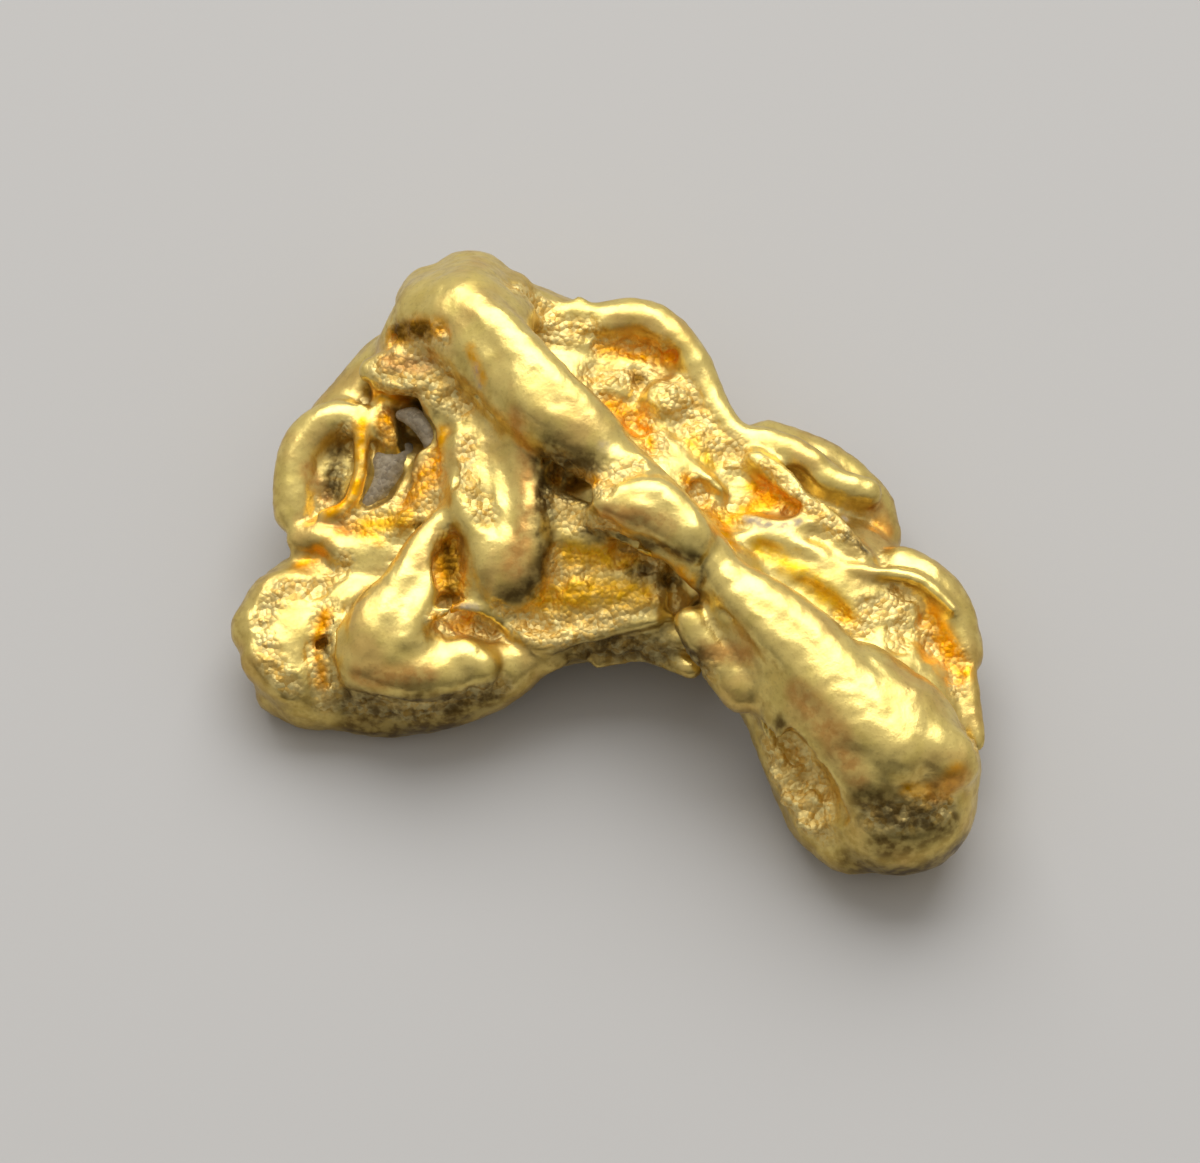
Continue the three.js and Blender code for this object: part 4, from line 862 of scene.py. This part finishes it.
def marked(body):
    """Notes where the gold is hollow, sandy, tinted or filmed, and where it gets painted shade, painted
    bounce light and dirt, for the relief and the material.
    """
    places = of_points(body, "co")
    hollow = eased(hollowness(body, HOLLOW_RUBS), *HOLLOW_RANGE)
    rough = np.clip(nearness(places, SAND) + HOLLOW_SAND * hollow, 0, 1)
    # Painted shade: the gold is painted darker the more it faces aside and the lower it lies.
    aside = eased(of_points(body, "normal")[:, 2], *FLANK_SHADE_RANGE)
    low = eased(places[:, 2], *LOW_SHADE_RANGE)
    flank_shade = FLANK_SHADE_SHARE * aside + (1 - FLANK_SHADE_SHARE) * low
    set_group(body, "sheltered", rough)
    set_group(body, "open", 1 - rough)
    set_attribute(body, "hollow", hollow)
    set_attribute(body, "rough", rough)
    set_attribute(body, "flank_shade", flank_shade)
    for name, zones in ZONES.items():
        set_attribute(body, name, nearness(places, zones))
    return body


def weathered(body, settings):
    """Dents the worn gold softly and grains the sheltered gold, like the sand that it was cast against."""
    raised(body, "CLOUDS", settings.dent_size / MM, settings.dent_height / MM, noise_depth=DENT_DETAIL)
    raised(body, "CLOUDS", KNOCK_SIZE, KNOCK_HEIGHT, "open", noise_depth=DENT_DETAIL)
    raised(body, "CLOUDS", settings.lump_size / MM, settings.lump_height / MM, "sheltered",
           noise_depth=LUMP_DETAIL)
    raised(body, "VORONOI", settings.grain_size / MM, -settings.grain_height / MM, "sheltered",
           distance_metric=GRAIN_METRIC)
    return raised(body, "CLOUDS", PRICK_SIZE, PRICK_HEIGHT, "open", noise_depth=DENT_DETAIL)


def gold_material(settings):
    """Native gold, rubbed by gravel where it stands proud and cast against sand where it lies deep.

    The eye sees pale satin crests with tight glints and flanks with an olive and coppery bloom; steep
    flanks, low parts and hollows get painted shade, and pockets and bowls get painted bounce light in orange
    and yellow. Painted shade with some brown dirt and a thin grey film stays in the creases.
    """
    material, tree, shader = new_material("river_worn_gold")
    place = add(tree, "ShaderNodeTexCoord", {}, "Object")
    marks = {name: add(tree, "ShaderNodeAttribute", {}, "Fac", attribute_name=name)
             for name in ("hollow", "rough", "flank_shade", *ZONES)}
    # painted shade: where the small dark blots of the shaded flanks gather
    marks["lee_shade"] = add(tree, "ShaderNodeMapRange", spread(marks["flank_shade"], LEE_FLANK_SHADE, LEE_SHADE_SHARE),
                       interpolation_type="SMOOTHSTEP")

    sizes = {"clouds": CLOUD_SIZE, "patches": PATCH_SIZE, "mottle": MOTTLE_SIZE, "speckle": SPECKLE_SIZE}
    patterns = {name: add(tree, "ShaderNodeTexNoise",
                          {"Vector": place, "Scale": per(size), "Detail": NOISE_DETAIL})
                for name, size in sizes.items()}
    patterns["breakup"] = add(tree, "ShaderNodeMix",
                              {"Factor": MOTTLE_SHARE, "A": patterns["patches"], "B": patterns["mottle"]})
    grit = add(tree, "ShaderNodeTexVoronoi", {"Vector": place, "Scale": per(GRIT_SIZE)}, "Distance")
    grit_tone = add(tree, "ShaderNodeSeparateColor", {"Color": grit.node.outputs["Color"]})

    sandy = add(tree, "ShaderNodeMix", {0: grit_tone, 6: (*settings.sand_shade, 1),
                                        7: (*settings.sand_colour, 1)}, 2, data_type="RGBA")
    base = (*settings.crest_colour, 1)
    for name, mark, pattern, where, shares in GOLD_LAYERS:
        over = sandy if name == "sand_colour" else (*getattr(settings, name), 1)
        share = add(tree, "ShaderNodeMapRange", spread(patterns[pattern], where, shares),
                    interpolation_type="SMOOTHSTEP")
        if mark:
            share = add(tree, "ShaderNodeMath", {0: marks[mark], 1: share}, operation="MULTIPLY")
        if mark == "film":
            film = share
        base = add(tree, "ShaderNodeMix", {0: share, 6: base, 7: over}, 2, data_type="RGBA")

    bare = add(tree, "ShaderNodeMath", {0: 1, 1: film}, operation="SUBTRACT")
    roughness = add(tree, "ShaderNodeMapRange", spread(patterns["patches"], CREST_PATCHES, CREST_ROUGHNESS),
                    interpolation_type="SMOOTHSTEP")
    for where, more in ((marks["rough"], SAND_ROUGHNESS), (film, FILM_ROUGHNESS)):
        roughness = add(tree, "ShaderNodeMath", {0: where, 1: more, 2: roughness}, operation="MULTIPLY_ADD")

    pricks = add(tree, "ShaderNodeBump",
                 {"Height": patterns["speckle"], "Distance": SPECKLE_HEIGHT * MM, "Strength": 1})
    sandy_grit = add(tree, "ShaderNodeMath", {0: grit, 1: marks["rough"]}, operation="MULTIPLY")
    relief = add(tree, "ShaderNodeBump", {"Height": sandy_grit, "Distance": GRIT_HEIGHT * MM, "Strength": 1,
                                          "Normal": pricks}, invert=True)
    feed(tree, shader, {"Base Color": base, "Metallic": bare, "Roughness": roughness, "Normal": relief})
    return material


def build_gold(settings):
    body = layered(pocketed(folded(rough_body())))
    body = rubbed(outer_skin(remeshed(body, settings.skin_step / MM)), settings.wear)
    body = finished(seated(weathered(marked(body), settings)), "gold", gold_material(settings))
    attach(body, "root")
    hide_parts("gold_nugget")
    return body


# --- The crumb of host rock ----------------------------------------------------------------------------


def rock_material(settings):
    """Grey quartzy rock, broken and then rubbed dull: fine pale and dark grains, with no shine."""
    material, tree, shader = new_material("host_rock")
    place = add(tree, "ShaderNodeTexCoord", {}, "Object")
    grains = add(tree, "ShaderNodeTexVoronoi", {"Vector": place, "Scale": per(ROCK_GRAIN_SIZE)}, "Distance")
    tone = add(tree, "ShaderNodeSeparateColor", {"Color": grains.node.outputs["Color"]})
    clouds = add(tree, "ShaderNodeTexNoise",
                 {"Vector": place, "Scale": per(ROCK_CLOUD_SIZE), "Detail": NOISE_DETAIL})
    share = add(tree, "ShaderNodeMix", {"Factor": ROCK_CLOUD_SHARE, "A": tone, "B": clouds})
    base = add(tree, "ShaderNodeMix", {0: share, 6: (*settings.dark_colour, 1),
                                       7: (*settings.light_colour, 1)}, 2, data_type="RGBA")
    relief = add(tree, "ShaderNodeBump", {"Height": grains, "Strength": ROCK_GRAIN_BUMP,
                                          "Distance": ROCK_GRAIN_HEIGHT * MM}, invert=True)
    feed(tree, shader, {"Base Color": base, "Roughness": ROCK_ROUGHNESS, "Normal": relief})
    return material


def build_crumb(settings):
    pieces = [strand(points) for points in ROCK.values()]
    rock = rubbed(remeshed(joined(pieces), ROCK_STEP), ROCK_RUBS)
    raised(rock, "CLOUDS", settings.lump_size / MM, settings.lump_height / MM, noise_depth=LUMP_DETAIL)
    finished(rock, "host_rock", rock_material(settings))
    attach(rock, "root")
    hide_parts("host_rock_crumb")
    return rock


# --- The stage -----------------------------------------------------------------------------------------


def stood_off(thing, target, way, rise, distance):
    """Stands a lamp or camera off behind (way 1) or in front (way -1) of the target, looking down at it."""
    direction = Vector((0, way * math.cos(rise), math.sin(rise)))
    thing.location = target + direction * distance
    thing.rotation_mode = "QUATERNION"
    thing.rotation_quaternion = direction.to_track_quat("Z", "Y")


def lay_floor(settings):
    deselect()
    bpy.ops.mesh.primitive_plane_add(size=FLOOR_SIDE, location=(0, 0, 0))
    floor = bpy.context.object
    floor.name = "floor"
    material, tree, shader = new_material("pale_card")
    feed(tree, shader, {"Base Color": (*settings.floor_colour, 1), "Roughness": CARD_ROUGHNESS})
    floor.data.materials.append(material)


def hang_lamp(settings):
    """One broad soft lamp, behind and above, so that the light runs along the tops of the folds."""
    deselect()
    bpy.ops.object.light_add(type="AREA")
    lamp = bpy.context.object
    lamp.name = "softbox"
    lamp.data.shape = "RECTANGLE"
    lamp.data.size = settings.lamp_width
    lamp.data.size_y = settings.lamp_depth
    lamp.data.energy = settings.lamp_power
    stood_off(lamp, Vector((0, 0, 0)), 1, settings.lamp_height, settings.lamp_distance)


def dim_room(settings):
    """A room that is pale overhead and dark low down in front, so that the flanks shade off softly."""
    world = bpy.data.worlds.new("dim_room")
    world.use_nodes = True
    tree = world.node_tree
    background = tree.nodes["Background"]
    way = add(tree, "ShaderNodeTexCoord", {}, "Generated")
    height = add(tree, "ShaderNodeVectorMath", {0: way, 1: ROOM_BRIGHT_WAY}, "Value",
                 operation="DOT_PRODUCT")
    across = add(tree, "ShaderNodeSeparateXYZ", {0: way})
    aside = add(tree, "ShaderNodeMath", {0: across}, operation="ABSOLUTE")
    pale = add(tree, "ShaderNodeMath", {0: aside, 1: ROOM_SIDES, 2: height}, operation="MULTIPLY_ADD")
    strengths = (settings.room_dark, settings.room_light)
    fade = add(tree, "ShaderNodeMapRange", spread(pale, ROOM_FADE, strengths),
               interpolation_type="SMOOTHSTEP")
    feed(tree, background, {"Color": (*settings.room_colour, 1), "Strength": fade})
    bpy.context.scene.world = world


def stand_camera(settings):
    """A long lens well above the nugget, so that near and far folds keep their sizes."""
    deselect()
    bpy.ops.object.camera_add()
    camera = bpy.context.object
    camera.name = "camera"
    camera.data.lens = settings.lens
    camera.data.clip_start = CAMERA_NEAR
    camera.data.clip_end = CAMERA_FAR
    stood_off(camera, Vector(VIEW_CENTRE) * MM, -1, settings.camera_height, settings.camera_distance)
    bpy.context.scene.camera = camera


def build_stage(settings):
    lay_floor(settings)
    hang_lamp(settings)
    dim_room(settings)
    stand_camera(settings)
    # The plain transform keeps the brightest glints a clear pale yellow.
    bpy.context.scene.view_settings.view_transform = "Standard"


# --- The add-on ----------------------------------------------------------------------------------------


def length(name, description, millimetres):
    return FloatProperty(name=name, description=description, default=millimetres * MM, min=0, unit="LENGTH",
                         precision=6)


def angle(name, description, degrees):
    return FloatProperty(name=name, description=description, default=math.radians(degrees), subtype="ANGLE")


def colour(name, description, code):
    return FloatVectorProperty(name=name, description=description, default=linear(code), min=0, max=1,
                               size=3, subtype="COLOR")


class NuggetGold(bpy.types.PropertyGroup):
    """Sizes and colours of the gold."""
    skin_step: length("Skin step", "Distance between neighbouring points of the finished skin", 0.063)
    wear: IntProperty(name="Wear", description="How often the skin is rubbed down at the end", default=2,
                      min=0)
    dent_size: length("Dent size", "How broad the soft dents of the worn gold are", 0.8)
    dent_height: length("Dent height", "How deep the soft dents are", 0.05)
    lump_size: length("Lump size", "How broad the lumps of the sheltered gold are", 0.32)
    lump_height: length("Lump height", "How far the lumps stand up", 0.13)
    grain_size: length("Grain size", "How broad the sandy grains are", 0.2)
    grain_height: length("Grain height", "How far the grains stand up", 0.08)
    crest_colour: colour("Crests", "Rubbed gold", "#FBE48C")
    olive_colour: colour("Olive bloom", "Greenish drifts on the worn gold", "#D6C266")
    # painted shade: the darker colour laid on steep flanks and low parts
    flank_shade_colour: colour("Flanks", "Bloom of the flanks, which rub against less", "#AC8836")
    # painted shade: the darker colour laid in the hollows
    hollow_shade_colour: colour("Hollows", "Gold that the river rubbed less", "#DCBE72")
    sand_colour: colour("Bright sandy gold", "The brighter grains", "#FFF0B0")
    sand_shade: colour("Dark sandy gold", "The darker grains", "#EABF62")
    # painted bounce light: the strong yellow laid in the bowls and troughs
    yellow_bounce_light_colour: colour("Clean gold", "Gold that keeps its fresh yellow in the sheltered bowls", "#FFCA22")
    # painted bounce light: the deep orange laid in the pockets
    amber_bounce_light_colour: colour("Deep gold", "Gold at the bottom of the pockets", "#FFB60C")
    tint_colour: colour("Coppery tint", "Reddish bloom on the worn gold", "#D29A55")
    # painted shade with some dirt: the dark brown laid in creases and under overhangs
    shade_and_dirt_colour: colour("Dirt", "Brown dirt held in the creases", "#4A3517")
    film_colour: colour("Mineral film", "Thin grey film left by the rock", "#B3A698")


class NuggetRock(bpy.types.PropertyGroup):
    """Sizes and colours of the crumb of host rock."""
    lump_size: length("Lump size", "How broad the broken faces are", 0.25)
    lump_height: length("Lump height", "How uneven the broken faces are", 0.06)
    light_colour: colour("Light grains", "Pale quartz grains", "#B5A88E")
    dark_colour: colour("Dark grains", "Darker grains between them", "#6E6350")


class NuggetStage(bpy.types.PropertyGroup):
    """Floor, lamp, room and camera."""
    floor_colour: colour("Floor", "Plain pale card", "#C4C4C4")
    lamp_power: FloatProperty(name="Lamp power", description="Power of the soft lamp", default=0.78,
                              unit="POWER")
    lamp_width: length("Lamp width", "Width of the soft lamp", 340)
    lamp_depth: length("Lamp depth", "Depth of the soft lamp", 260)
    lamp_distance: length("Lamp distance", "From the nugget to the soft lamp", 300)
    lamp_height: angle("Lamp height", "How high the lamp stands", 52)
    room_light: FloatProperty(name="Room light", description="Strength of the room overhead", default=0.53)
    room_dark: FloatProperty(name="Room dark", description="Strength of the room low in front", default=0.07)
    room_colour: colour("Room", "Colour of the dim room", "#FFF8EE")
    camera_height: angle("Camera height", "How steeply the camera looks down", EYE_RISE)
    camera_distance: length("Camera distance", "From the nugget to the camera", 120)
    lens: FloatProperty(name="Lens", description="Focal length of the camera's lens", default=225,
                        subtype="DISTANCE_CAMERA")


class NUGGET_OT_gold(bpy.types.Operator):
    """Models the gold, with its folds, pockets and sandy hollows"""
    bl_idname = "nugget.gold"
    bl_label = "Gold"

    def execute(self, context):
        build_gold(context.scene.nugget_gold)
        return {"FINISHED"}


class NUGGET_OT_host_rock(bpy.types.Operator):
    """Models the crumb of grey rock held in the pocket"""
    bl_idname = "nugget.host_rock"
    bl_label = "Crumb of Host Rock"

    def execute(self, context):
        build_crumb(context.scene.nugget_rock)
        return {"FINISHED"}


class NUGGET_OT_stage(bpy.types.Operator):
    """Lays the floor, hangs the lamp and stands the camera"""
    bl_idname = "nugget.stage"
    bl_label = "Stage"

    def execute(self, context):
        build_stage(context.scene.nugget_stage)
        return {"FINISHED"}


class NUGGET_PT_sidebar(bpy.types.Panel):
    """The nugget's settings and its three steps"""
    bl_idname = "NUGGET_PT_sidebar"
    bl_label = "Gold Nugget"
    bl_space_type = "VIEW_3D"
    bl_region_type = "UI"
    bl_category = "Nugget"

    def draw(self, context):
        scene = context.scene
        steps = ((scene.nugget_gold, NUGGET_OT_gold), (scene.nugget_rock, NUGGET_OT_host_rock),
                 (scene.nugget_stage, NUGGET_OT_stage))
        for settings, step in steps:
            box = self.layout.box()
            for name in settings.__annotations__:
                box.prop(settings, name)
            box.operator(step.bl_idname)


CLASSES = (NuggetGold, NuggetRock, NuggetStage, NUGGET_OT_gold, NUGGET_OT_host_rock, NUGGET_OT_stage,
           NUGGET_PT_sidebar)
SETTINGS = {"nugget_gold": NuggetGold, "nugget_rock": NuggetRock, "nugget_stage": NuggetStage}


def register():
    for kind in CLASSES:
        bpy.utils.register_class(kind)
    for name, group in SETTINGS.items():
        setattr(bpy.types.Scene, name, PointerProperty(type=group))


def unregister():
    for name in SETTINGS:
        delattr(bpy.types.Scene, name)
    for kind in reversed(CLASSES):
        bpy.utils.unregister_class(kind)


def main():
    register()
    bpy.ops.nugget.gold()
    bpy.ops.nugget.host_rock()
    bpy.ops.nugget.stage()


if __name__ == "__main__":
    main()
